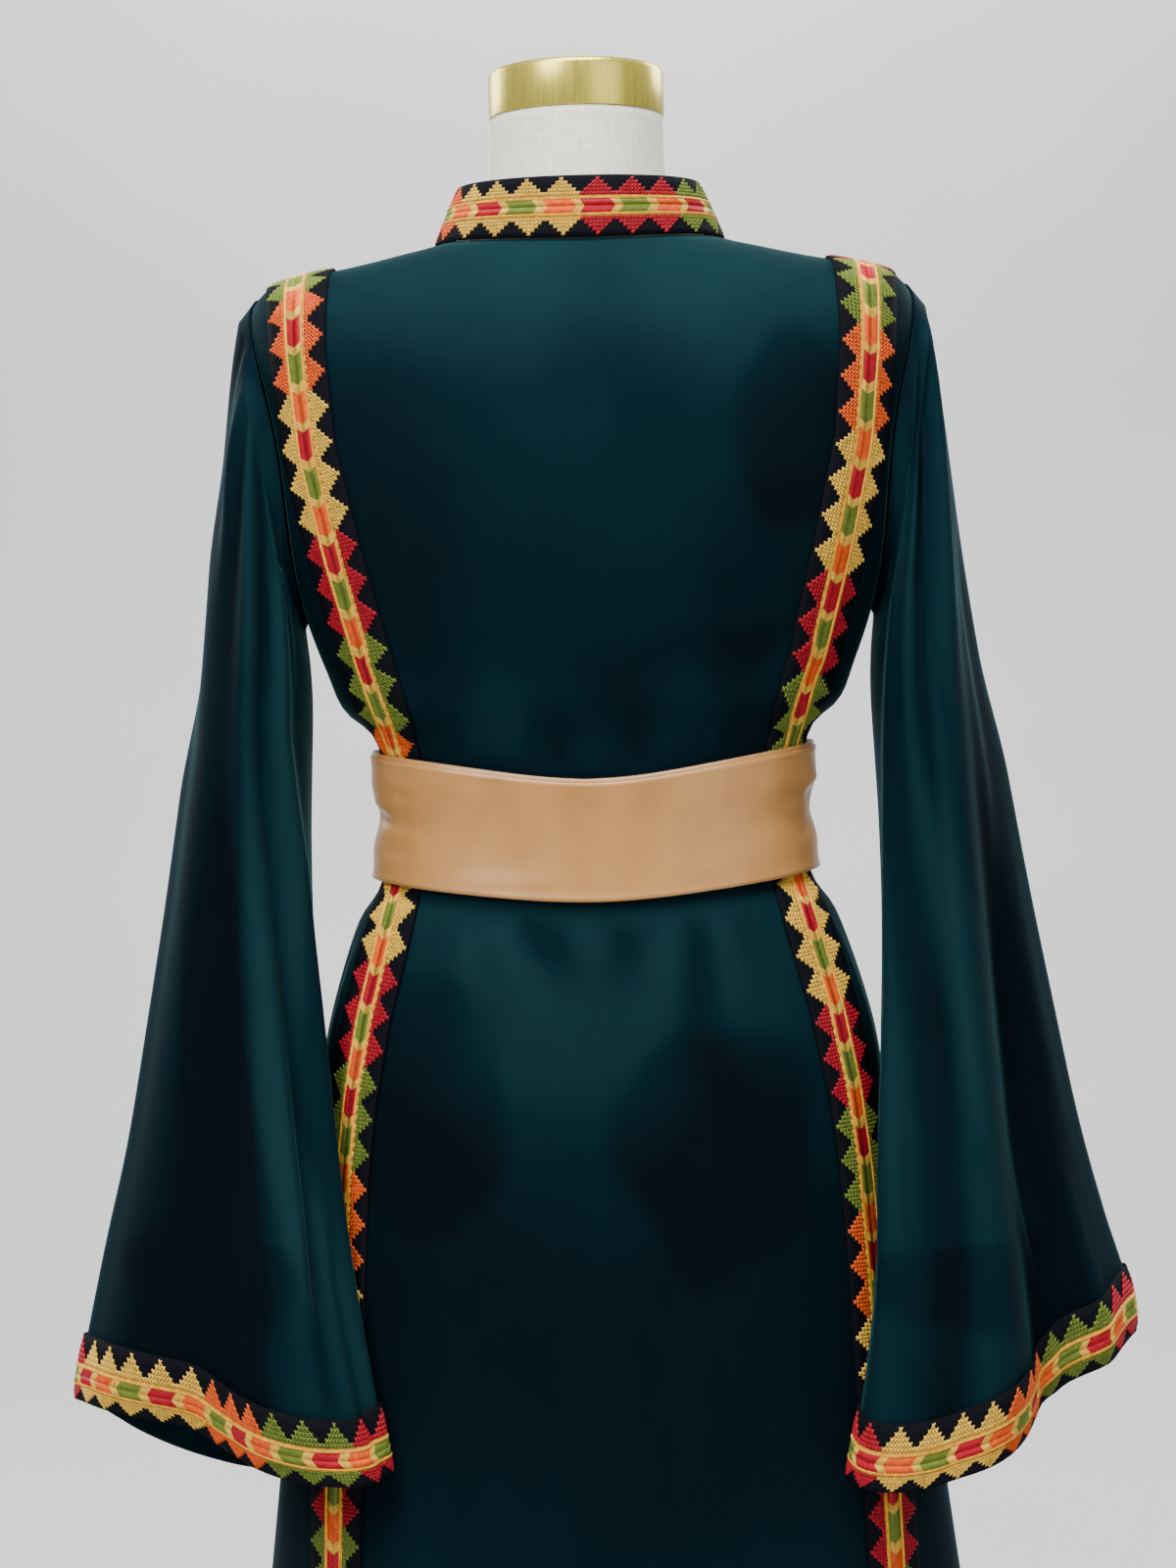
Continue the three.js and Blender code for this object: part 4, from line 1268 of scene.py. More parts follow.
# A thread as a low roof in three sections: places along and across in shares, and heights.
STRAND_POINTS = np.array([
    (-1.0, 0.6, -0.1), (-1.0, 0.0, 0.42), (-1.0, -0.6, -0.1),
    (0.0, 1.0, -0.1), (0.0, 0.0, 1.0), (0.0, -1.0, -0.1),
    (1.0, 0.6, -0.1), (1.0, 0.0, 0.42), (1.0, -0.6, -0.1),
])
STRAND_FACES = (
    (0, 1, 4, 3), (1, 2, 5, 4), (3, 4, 7, 6), (4, 5, 8, 7), (0, 3, 5, 2), (3, 6, 8, 5), (0, 2, 1), (6, 7, 8),
)
BAR_FACES = ((0, 4, 5, 3), (1, 2, 5, 4), (0, 1, 4), (3, 5, 2), (0, 3, 2, 1))


@dataclass
class StitchWork:
    """Small closed bodies of thread collected for one piece, with a colour for each face."""

    flip: bool
    points: list[Array] = field(default_factory=list)
    faces: list[list[int]] = field(default_factory=list)
    colors: list[int] = field(default_factory=list)
    count: int = 0

    def add(self, points: Array, faces: Sequence[tuple[int, ...]], colors: Array) -> None:
        """Adds many bodies of one kind.

        Args:
            points: vertices of each body, in millimetres.
            faces: vertex numbers of the faces of one body.
            colors: number of the thread of each body.
        """
        bodies, corners = points.shape[:2]
        starts = self.count + np.arange(bodies) * corners
        for face in faces:
            turned = face[::-1] if self.flip else face
            self.faces.extend((starts[:, None] + np.array(turned)).tolist())
            self.colors.extend(colors.tolist())
        self.points.append(points.reshape(-1, 3))
        self.count += bodies * corners

    def build(self, name: str, finishes: Finishes) -> bpy.types.Object:
        """Makes the piece.

        Args:
            name: name of the piece.
            finishes: materials of the scene.

        Returns:
            The new object.
        """
        obj = mesh_object(name, np.concatenate(self.points), self.faces)
        for material in finishes.threads:
            obj.data.materials.append(material)
        obj.data.polygons.foreach_set("material_index", self.colors)
        obj.data.update()
        return obj


class Embroidery:
    """Cross-stitched triangles and a chevron braid over a strip of tape."""

    def __init__(self, strip: Strip, triangle_start: float, cell_start: float, direction: int,
                 scale: float = 1.0) -> None:
        """Prepares the work.

        Args:
            strip: tape that carries the work.
            triangle_start: distance from the strip's start to the apex of the first triangle.
            cell_start: distance to the start of the first cell.
            direction: 1 if the chevrons point along the strip, -1 if they point back.
            scale: length of the pattern along the strip as a share of the plain one.
        """
        self.strip = strip
        self.stitch = STITCH_ALONG * scale
        self.cell_pitch = CELL_PITCH * scale
        self.triangle_start = triangle_start
        self.cell_start = cell_start
        self.direction = direction
        middle = np.array([strip.length / 2])
        at = strip.place(middle, np.zeros(1), np.zeros(1))
        run = strip.place(middle + 1, np.zeros(1), np.zeros(1)) - at
        side = strip.place(middle, np.ones(1), np.zeros(1)) - at
        rise = strip.place(middle, np.zeros(1), np.ones(1)) - at
        self.work = StitchWork(bool((np.cross(run, side) * rise).sum() < 0))

    def add_strands(self, middles: Array, half_runs: Array, half_width: float, height: float,
                    colors: Array) -> None:
        """Adds straight threads.

        Args:
            middles: distances along and across of each thread's middle.
            half_runs: half of each thread's run along and across.
            half_width: half of the thread's width.
            height: height of its ridge.
            colors: number of the thread of each.
        """
        lengths = np.linalg.norm(half_runs, axis=1, keepdims=True)
        sides = np.stack([-half_runs[:, 1], half_runs[:, 0]], -1) / lengths * half_width
        flat = (middles[:, None] + half_runs[:, None] * STRAND_POINTS[:, 0, None]
                + sides[:, None] * STRAND_POINTS[:, 1, None])
        heights = np.broadcast_to(STRAND_POINTS[:, 2] * height, flat.shape[:2])
        self.work.add(self.strip.place(flat[..., 0], flat[..., 1], heights), STRAND_FACES, colors)

    def add_triangles(self, colors: Sequence[Thread]) -> None:
        """Adds the stepped triangles of both edges.

        Args:
            colors: threads of the triangles in order, repeated as needed.
        """
        rows = len(TRIANGLE_LENGTHS)
        first = -2 * rows
        last = int(self.strip.length / self.stitch) + 2 * rows
        middles, threads = [], []
        for row in range(first, last):
            along = self.triangle_start + (row - rows // 2) * self.stitch
            if not 0.45 * self.stitch <= along <= self.strip.length - 0.45 * self.stitch:
                continue
            for step in range(TRIANGLE_LENGTHS[row % rows]):
                across = TRIANGLE_FOOT + (step + 0.5) * STITCH_ACROSS
                middles.extend([(along, across), (along, -across)])
                threads.extend([colors[(row // rows) % len(colors)].value] * 2)
        places, numbers = np.array(middles), np.array(threads)
        under, over = (np.array([self.stitch, slope * STITCH_ACROSS]) * STITCH_REACH for slope in (-1, 1))
        self.add_bars(places - under, places + under, 2 * STITCH_HALF_WIDTH, 0.8, numbers)
        self.add_strands(places, np.broadcast_to(over, places.shape), STITCH_HALF_WIDTH, 1.1, numbers)

    def add_bars(self, starts: Array, ends: Array, width: float, height: float, colors: Array) -> None:
        """Adds straight satin threads, each a low roof over its line.

        Args:
            starts: distances along and across of each start.
            ends: distances along and across of each end.
            width: width of a thread.
            height: height of its ridge.
            colors: number of the thread of each.
        """
        runs = ends - starts
        sides = np.stack([-runs[:, 1], runs[:, 0]], -1)
        sides = sides / np.linalg.norm(sides, axis=1, keepdims=True) * width / 2
        flat = np.stack([starts + sides, starts - sides, ends - sides, ends + sides, starts, ends], 1)
        heights = np.broadcast_to(np.array([-0.05, -0.05, -0.05, -0.05, height, height]), flat.shape[:2])
        self.work.add(self.strip.place(flat[..., 0], flat[..., 1], heights), BAR_FACES, colors)

    def add_braid(self, cells: Sequence[Thread]) -> None:
        """Adds the chevron cells between the cords, a golden chevron after each.

        Args:
            cells: threads of the cells in order, repeated as needed.
        """
        along = np.arange(-CHEVRON_SLANT, self.strip.length + CHEVRON_SLANT, THREAD_STEP)
        number = np.floor((along - self.cell_start) / self.cell_pitch).astype(int)
        within = along - self.cell_start - number * self.cell_pitch
        is_gold = within >= self.cell_pitch - CELL_GOLD
        cell_colors = np.array([cell.value for cell in cells])[number % len(cells)]
        colors = np.where(is_gold, Thread.GOLD.value, cell_colors)
        inner = along + CHEVRON_SLANT / 2 * self.direction
        outer = along - CHEVRON_SLANT / 2 * self.direction
        inside = (np.minimum(inner, outer) >= 0.5) & (np.maximum(inner, outer) <= self.strip.length - 0.5)
        for side in (-1, 1):
            starts = np.stack([inner, np.zeros_like(inner)], -1)[inside]
            ends = np.stack([outer, np.full_like(outer, side * (BRAID_HALF_WIDTH + 0.2))], -1)[inside]
            gold = is_gold[inside]
            self.add_bars(starts[~gold], ends[~gold], 1.5, 0.85, colors[inside][~gold])
            self.add_bars(starts[gold], ends[gold], 1.3, 1.05, colors[inside][gold])

    def add_cords(self) -> None:
        """Adds the golden cords along both sides of the braid: a twisted one and a thin straight one."""
        along = np.arange(1.0, self.strip.length - 1.6, CORD_STEP)
        for side in (-1, 1):
            near = np.stack([along - 0.8, np.full_like(along, side * BRAID_HALF_WIDTH)], -1)
            far = np.stack([along + 1.5, np.full_like(along, side * (BRAID_HALF_WIDTH + 1.3))], -1)
            self.add_bars(near, far, 1.5, 1.35, np.full(len(along), Thread.CORD.value))
            steps = np.arange(0.6, self.strip.length - 6.6, 6.0)
            start = np.stack([steps, np.full_like(steps, side * (BRAID_HALF_WIDTH + 1.9))], -1)
            self.add_bars(start, start + (6.1, 0.0), 0.9, 0.8, np.full(len(steps), Thread.CORD.value))


# Orders of the colours along the trims.
O, G, R, Y = Thread.ORANGE, Thread.GREEN, Thread.RED, Thread.GOLD
CELLS = (G, O, R)
SEQUENCE_LEFT = (G, G, G, O, O, O, Y, Y, Y, Y, R, R, R)
SEQUENCE_RIGHT = (R, R, G, G, G, O, O, O, Y, Y, Y, Y, R)
SEQUENCE_COLLAR = (O, Y, Y, Y, Y, R, R, R, G, G, G, O, O)
SEQUENCE_CUFF_LEFT = (R, R, G, G, G, O, O, O, Y, Y, Y, Y, Y, R)
SEQUENCE_CUFF_RIGHT = (R, R, Y, Y, Y, Y, O, O, O, G, G, G, R)
# Where the first triangle's middle and the first cell lie along each trim, in millimetres, and the
# cuffs' share of the chart's length.
BAND_START_LEFT = (5.7, 31.6)
BAND_START_RIGHT = (-5.2, -9.2)
COLLAR_START = (164.8, 219.5)
CUFF_START_LEFT = (90.0, 87.0)
CUFF_START_RIGHT = (80.0, 70.0)
CUFF_CHART_SCALE = 0.93


class Held(Enum):
    """How a sheet of cloth is held, in the frame's words."""

    DRAPED = "draped"
    HUNG = "hung"


@dataclass(frozen=True)
class Cut:
    """Flat cut of a piece of cloth: its greatest width and length in metres, and how it is held."""

    width: float
    length: float
    held: Held
    rests_on: tuple[str, ...] = ()


def finish_cloth(obj: bpy.types.Object, node: str) -> None:
    """Ties a sheet of cloth to the frame.

    Args:
        obj: the cloth.
        node: CAD node that it stands for.
    """
    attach(obj, "root")
    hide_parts(node)


def finish_trim(obj: bpy.types.Object) -> None:
    """Ties sewing or trim to the frame."""
    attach(obj, "root")


def panel_levels(start: float, end: float) -> Array:
    """Levels of the velvet's rows, about 6 mm apart above the hips and 13 mm below.

    Args:
        start: first level.
        end: last level.

    Returns:
        The levels, from top to hem.
    """
    fine = np.linspace(start, end, 3000)
    heights = table_rows(LEVEL_ROWS, fine)[:, 0]
    spacing = np.where(heights > 850, 6.0, 13.0)
    walked = np.concatenate([[0.0], np.cumsum(np.abs(np.diff(heights)) / spacing[1:])])
    count = int(round(walked[-1]))
    return np.interp(np.linspace(0, walked[-1], count + 1), walked, fine)


EdgeAngle = Callable[[Array], Array]


@dataclass
class VelvetPanels:
    """The six panels of velvet of the thobe's body."""

    finishes: Finishes
    column_width: float = 6.5

    def panel(self, name: str, levels: Array, edge_from: EdgeAngle, edge_to: EdgeAngle) -> None:
        """Builds one panel between two edges.

        Args:
            name: name of the CAD node.
            levels: levels of its rows.
            edge_from: angle of the first edge for each level.
            edge_to: angle of the last edge for each level.
        """
        first, last = edge_from(levels), edge_to(levels)
        first = first + SEAM_GAP / 2 / np.hypot(*np.moveaxis(BODY.point(first, levels), -1, 0)[:2])
        last = last - SEAM_GAP / 2 / np.hypot(*np.moveaxis(BODY.point(last, levels), -1, 0)[:2])
        widest = np.linalg.norm(BODY.point(last, levels) - BODY.point(first, levels), axis=1).max()
        columns = int(np.ceil(widest * 1.12 / self.column_width)) + 1
        share = np.linspace(0, 1, columns)
        angles = first[:, None] + (last - first)[:, None] * share
        rows = np.broadcast_to(levels[:, None], angles.shape)
        outer = BODY.layer(angles, rows, VELVET)
        obj = wall_object(f"velvet_{name}", outer, BODY.layer(angles, rows, 0.0), False)
        obj.data.materials.append(self.finishes.velvet)
        radius, z = BODY.plain_ring(angles, rows)
        # Height of creases and folds, which sets the painted highlights on ridges and painted shade in
        # troughs.
        relief = BODY.crease_height(angles, radius, z) * 2.2 + BODY.fold_height(angles, z) * 0.5
        set_nap_and_painted_light(obj, outer, relief, BODY_PILE_AND_LIGHT_LOBES)
        finish_cloth(obj, name)

    def build(self) -> None:
        """Builds all six panels."""
        every = panel_levels(level_index("neckline"), level_index("hem"))
        side = panel_levels(level_index("band_shoulder") + 0.14, level_index("hem"))
        back, front = -1, 1
        self.panel("back_centre", every, lambda at: band_angle(at, back) - np.pi,
                   lambda at: -band_angle(at, back))
        self.panel("front_centre_right", every, lambda at: band_angle(at, front),
                   lambda at: np.full(at.shape, np.pi / 2))
        self.panel("front_centre_left", every, lambda at: np.full(at.shape, np.pi / 2),
                   lambda at: np.pi - band_angle(at, front))
        self.panel("back_side_right", side, lambda at: -band_angle(at, back),
                   lambda at: -armhole_angle(at, back))
        self.panel("back_side_left", side, lambda at: armhole_angle(at, back) - np.pi,
                   lambda at: band_angle(at, back) - np.pi)
        self.panel("front_side_right", side, lambda at: armhole_angle(at, front),
                   lambda at: band_angle(at, front))
        self.panel("front_side_left", side, lambda at: np.pi - band_angle(at, front),
                   lambda at: np.pi - armhole_angle(at, front))


@dataclass
class BodyBands:
    """The four embroidered bands that run from the shoulders to the hem."""

    finishes: Finishes
    columns: int = 9

    def stations(self, side: int, facing: int) -> tuple[Array, Array]:
        """Angles and levels of a band's middle line.

        Args:
            side: 1 at the wearer's right and -1 at the left.
            facing: -1 for the back and 1 for the front.

        Returns:
            Angles and levels from the shoulder ridge to the hem.
        """
        shoulder = level_index("band_shoulder")
        near = shoulder + np.array([0, 0.01, 0.03, 0.07, 0.12, 0.2, 0.28, 0.38, 0.5, 0.62, 0.75, 0.88, 1.0])
        levels = np.concatenate([near, panel_levels(shoulder + 1.1, level_index("hem"))])
        angle = facing * band_angle(levels, facing)
        return (angle if side > 0 else np.pi - angle), levels

    def strip(self, side: int, facing: int) -> Strip:
        """Lays the tape's grid beside its middle line.

        Args:
            side: 1 at the wearer's right and -1 at the left.
            facing: -1 for the back and 1 for the front.

        Returns:
            The strip.
        """
        angle, level = self.stations(side, facing)
        points = BODY.point(angle, level)
        run = np.empty_like(points)
        run[1:-1] = points[2:] - points[:-2]
        run[-1] = points[-1] - points[-2]
        run[0] = (0.0, float(facing), 0.0)
        across = unit(np.cross(run, BODY.normal(angle, level)))
        step_angle, step_level = 0.01, 0.02
        low = np.maximum(level - step_level, 0)
        along_angle = (BODY.point(angle + step_angle, level) - BODY.point(angle - step_angle, level)) / 0.02
        along_level = (BODY.point(angle, level + step_level) - BODY.point(angle, low))
        along_level = along_level / (level + step_level - low)[:, None]
        aa, ab, bb = ((p * q).sum(-1) for p, q in ((along_angle, along_angle), (along_angle, along_level),
                                                   (along_level, along_level)))
        pa, pb = (along_angle * across).sum(-1), (along_level * across).sum(-1)
        determinant = aa * bb - ab * ab
        distance = TAPE_WIDTH * (np.linspace(0, 1, self.columns) - 0.5)
        angles = angle[:, None] + ((pa * bb - pb * ab) / determinant)[:, None] * distance
        levels = level[:, None] + ((pb * aa - pa * ab) / determinant)[:, None] * distance
        levels = np.minimum(levels, level_index("hem"))
        outer = BODY.layer(angles, levels, VELVET + TAPE_LIFT + TAPE)
        inner = BODY.layer(angles, levels, VELVET + TAPE_LIFT)
        outer[0, :, 1] = inner[0, :, 1] = facing * SEAM_GAP / 2
        return Strip(outer, inner)

    def build(self) -> None:
        """Builds the bands with their embroidery."""
        for side, side_name in ((1, "right"), (-1, "left")):
            for facing, face_name in ((-1, "back"), (1, "front")):
                name = f"{face_name}_{side_name}"
                strip = self.strip(side, facing)
                tape = wall_object(f"tape_{name}", strip.outer, strip.inner, False)
                tape.data.materials.append(self.finishes.tape)
                finish_cloth(tape, f"band_{name}")
                is_left = side < 0
                work = Embroidery(strip, *(BAND_START_LEFT if is_left else BAND_START_RIGHT), 1)
                work.add_triangles(SEQUENCE_LEFT if is_left else SEQUENCE_RIGHT)
                work.add_braid(CELLS)
                work.add_cords()
                piece = work.work.build(f"embroidery_{name}", self.finishes)
                finish_trim(piece)
                LOG.info("band %s: %.0f mm, %d faces", name, strip.length, len(piece.data.polygons))


@dataclass
class Sleeves:
    """Two wide sleeves of velvet, each with an embroidered cuff."""

    finishes: Finishes
    sides: int = 136
    rows: int = 122
    cuff_sides: int = 110

    def sleeve(self, name: str, shape: SleeveShape, cells: Sequence[Thread]) -> None:
        """Builds one sleeve with its cuff.

        Args:
            name: side of the wearer.
            shape: the sleeve's shape.
            cells: threads of the braid's cells.
        """
        surface = SleeveSurface(shape)
        turn = np.linspace(0, 2 * np.pi, self.sides, endpoint=False)
        down = np.linspace(0, 1, self.rows + 1)
        turns, downs = np.meshgrid(turn, down)
        outer = surface.layer(turns, downs, 0.0)
        obj = wall_object(f"velvet_sleeve_{name}", outer, surface.layer(turns, downs, -VELVET), True)
        obj.data.materials.append(self.finishes.velvet)
        # The sleeve's folds and ovals set its painted highlights and shade.
        set_nap_and_painted_light(obj, outer, surface.fold_height(turns, downs), SLEEVE_PILE_AND_LIGHT_LOBES)
        finish_cloth(obj, f"sleeve_{name}")
        self.cuff(name, surface, cells)

    def cuff(self, name: str, surface: SleeveSurface, cells: Sequence[Thread]) -> None:
        """Builds the cuff's tape and embroidery.

        Args:
            name: side of the wearer.
            surface: the sleeve's surface.
            cells: threads of the braid's cells.
        """
        seam_turn = math.radians(140)
        turn = seam_turn + np.linspace(0, 2 * np.pi, self.cuff_sides, endpoint=False)
        top = surface.share_above_hem(turn, TAPE_WIDTH)
        share = np.linspace(0, 1, 9)
        turns = np.broadcast_to(turn[:, None], (len(turn), 9))
        downs = top[:, None] + (1 - top)[:, None] * share
        outer = surface.layer(turns, downs, CUFF_LIFT + TAPE)
        inner = surface.layer(turns, downs, CUFF_LIFT)
        tape = wall_object(f"tape_cuff_{name}", outer.transpose(1, 0, 2), inner.transpose(1, 0, 2), True)
        tape.data.materials.append(self.finishes.tape)
        strip = Strip(outer, inner, True)
        finish_cloth(tape, f"cuff_band_{name}")
        is_left = name == "left"
        starts = CUFF_START_LEFT if is_left else CUFF_START_RIGHT
        work = Embroidery(strip, *starts, 1 if is_left else -1, CUFF_CHART_SCALE)
        work.add_triangles(SEQUENCE_CUFF_LEFT if is_left else SEQUENCE_CUFF_RIGHT)
        work.add_braid(cells)
        work.add_cords()
        finish_trim(work.work.build(f"embroidery_cuff_{name}", self.finishes))

    def build(self) -> None:
        """Builds both sleeves."""
        self.sleeve("left", LEFT_SLEEVE, (G, O, R))
        self.sleeve("right", RIGHT_SLEEVE, (G, R, O))


@dataclass
class Collar:
    """A standing band of tape that leans in towards the neck."""

    finishes: Finishes
    wall: float = 2.2
    top_side: float = 78.0
    top_back: float = 68.0
    top_front: float = 75.0
    z_top_back: float = 1483.0
    z_top_side: float = 1485.0
    z_top_front: float = 1447.0
    foot_lift: float = 0.5
    columns: int = 97
    rows: int = 9

    def ring(self, angle: Array, up: float, grow: float) -> Array:
        """Points of one ring of the collar.

        Args:
            angle: angles about Z.
            up: 0 at the foot and 1 at the top.
            grow: distance outward from the inner face.

        Returns:
            Points, in millimetres.
        """
        level = np.full_like(angle, float(level_index("neckline")))
        foot = BODY.layer(angle, level, VELVET + self.foot_lift)
        cos, sin = np.cos(angle), np.sin(angle)
        depth = np.where(sin < 0, self.top_back, self.top_front)
        z_middle = np.where(sin < 0, self.z_top_back, self.z_top_front)
        z_head = z_middle + (self.z_top_side - z_middle) * cos * cos
        head = np.stack([self.top_side * cos, depth * sin, z_head], -1)
        out = np.stack([cos, sin, np.zeros_like(cos)], -1)
        return foot + (head - foot) * up + out * grow

    def build(self) -> None:
        """Builds the collar and its embroidery."""
        gap = 0.004
        angle = np.pi / 2 + gap + np.linspace(0, 2 * (np.pi - gap), self.columns)
        ups = np.linspace(1, 0, self.rows)
        outer = np.stack([self.ring(angle, up, self.wall) for up in ups])
        inner = np.stack([self.ring(angle, up, 0.0) for up in ups])
        obj = wall_object("tape_collar", outer, inner, False)
        obj.data.materials.append(self.finishes.tape)
        strip = Strip(outer.transpose(1, 0, 2), inner.transpose(1, 0, 2))
        finish_cloth(obj, "collar")
        work = Embroidery(strip, *COLLAR_START, 1)
        work.add_triangles(SEQUENCE_COLLAR)
        work.add_braid(CELLS)
        work.add_cords()
        finish_trim(work.work.build("embroidery_collar", self.finishes))


# Wrinkles of the belt. Columns: angle and share at the start, the same at the end,
# spread in millimetres, height.
BELT_CREASES = (
    (-178, 0.45, -158, 0.52, 4, -2.2), (-176, 0.35, -161, 0.41, 4, 1.7), (-174, 0.62, -148, 0.58, 5, 1.3),
    (-170, 0.22, -150, 0.29, 4, -0.9), (-168, 0.76, -152, 0.72, 4, -0.8), (-2, 0.33, -16, 0.40, 4, -2.2),
    (-3, 0.23, -20, 0.29, 4, 1.7), (-6, 0.50, -27, 0.46, 5, 1.3), (-8, 0.63, -22, 0.70, 4, -1.0),
    (-150, 0.92, -98, 0.80, 7, 0.5), (-70, 0.84, -30, 0.74, 7, 0.5), (-150, 0.14, -120, 0.21, 6, 0.4),
    (178, 0.35, 158, 0.45, 4, -1.7), (2, 0.35, 22, 0.45, 4, -1.7), (168, 0.10, 146, 0.22, 5, 1.2),
    (12, 0.12, 36, 0.24, 5, 1.2), (120, 0.70, 75, 0.64, 7, 0.6), (12, 0.78, 38, 0.70, 4, 1.1),
)


@dataclass
class Belt:
    """A satin belt in two layers, the inner one showing a little above the outer."""

    finishes: Finishes
    top: float = 1115.0
    bottom: float = 1030.0
    dip_back: tuple[float, float] = (20.0, 15.0)
    dip_front: tuple[float, float] = (8.0, 8.0)
    crease_depth: float = 3.0
    sides: int = 240

    def layer(self, name: str, lift: float, rise: float, shares: Array, wrinkle: float) -> None:
        """Builds one layer.

        Args:
            name: name of the CAD node.
            lift: height of its inner face over the cloth's inner face.
            rise: how far its upper edge is above the outer layer's.
            shares: shares of the outer layer's height at its rows.
            wrinkle: share of the wrinkles' height that it takes.
        """
        angle = np.linspace(0, 2 * np.pi, self.sides, endpoint=False)
        angles, share = np.meshgrid(angle, shares)
        sin = np.sin(angles)
        back, front = (top + (foot - top) * share for top, foot in (self.dip_back, self.dip_front))
        dip = np.where(sin < 0, back, front) * sin * sin * (1 + 0.25 * np.cos(angles) ** 2)
        z = self.top + rise - dip - share * (self.top - self.bottom)
        level = BODY.level_at_height(z)
        crease = np.cos(angles) ** 8 * (0.5 - 0.5 * np.cos(4 * np.pi * share)) * self.crease_depth
        crease = crease + wrinkle * self.wrinkles(angles, share)
        outer = BODY.layer(angles, level, lift + SATIN + crease)
        inner = BODY.layer(angles, level, lift + crease)
        obj = wall_object(f"satin_{name}", outer, inner, True)
        obj.data.materials.append(self.finishes.satin)
        finish_cloth(obj, name)

    def wrinkles(self, angle: Array, share: Array) -> Array:
        """Height of the listed wrinkles.

        Args:
            angle: angle about Z.
            share: share of the belt's height, from its top.

        Returns:
            Height off the belt.
        """
        height = np.zeros(angle.shape)
        radius = 135.0
        for angle_start, start, angle_end, end, spread, depth in BELT_CREASES:
            middle = math.radians((angle_start + angle_end) / 2)
            across = angle_between(angle, middle) * radius
            half_run = math.radians(angle_end - angle_start) / 2 * radius
            up = (share - (start + end) / 2) * (self.top - self.bottom)
            half_rise = (end - start) / 2 * (self.top - self.bottom)
            half_length = math.hypot(half_run, half_rise)
            along = (across * half_run + up * half_rise) / half_length / half_length
            away = (across * half_rise - up * half_run) / half_length
            height += depth * smooth((1 - np.abs(along)) / 0.8) * np.exp(-((away / spread) ** 2))
        return height

    def build(self) -> None:
        """Builds both layers."""
        base = VELVET + BELT_LIFT - BELT_SINK
        self.layer("belt_inner", base, 2.5, np.linspace(0, 0.2, 5), 0.0)
        self.layer("belt_outer", base + BELT_LAYER_STEP, 0.0, np.linspace(0, 1, 29), 1.0)


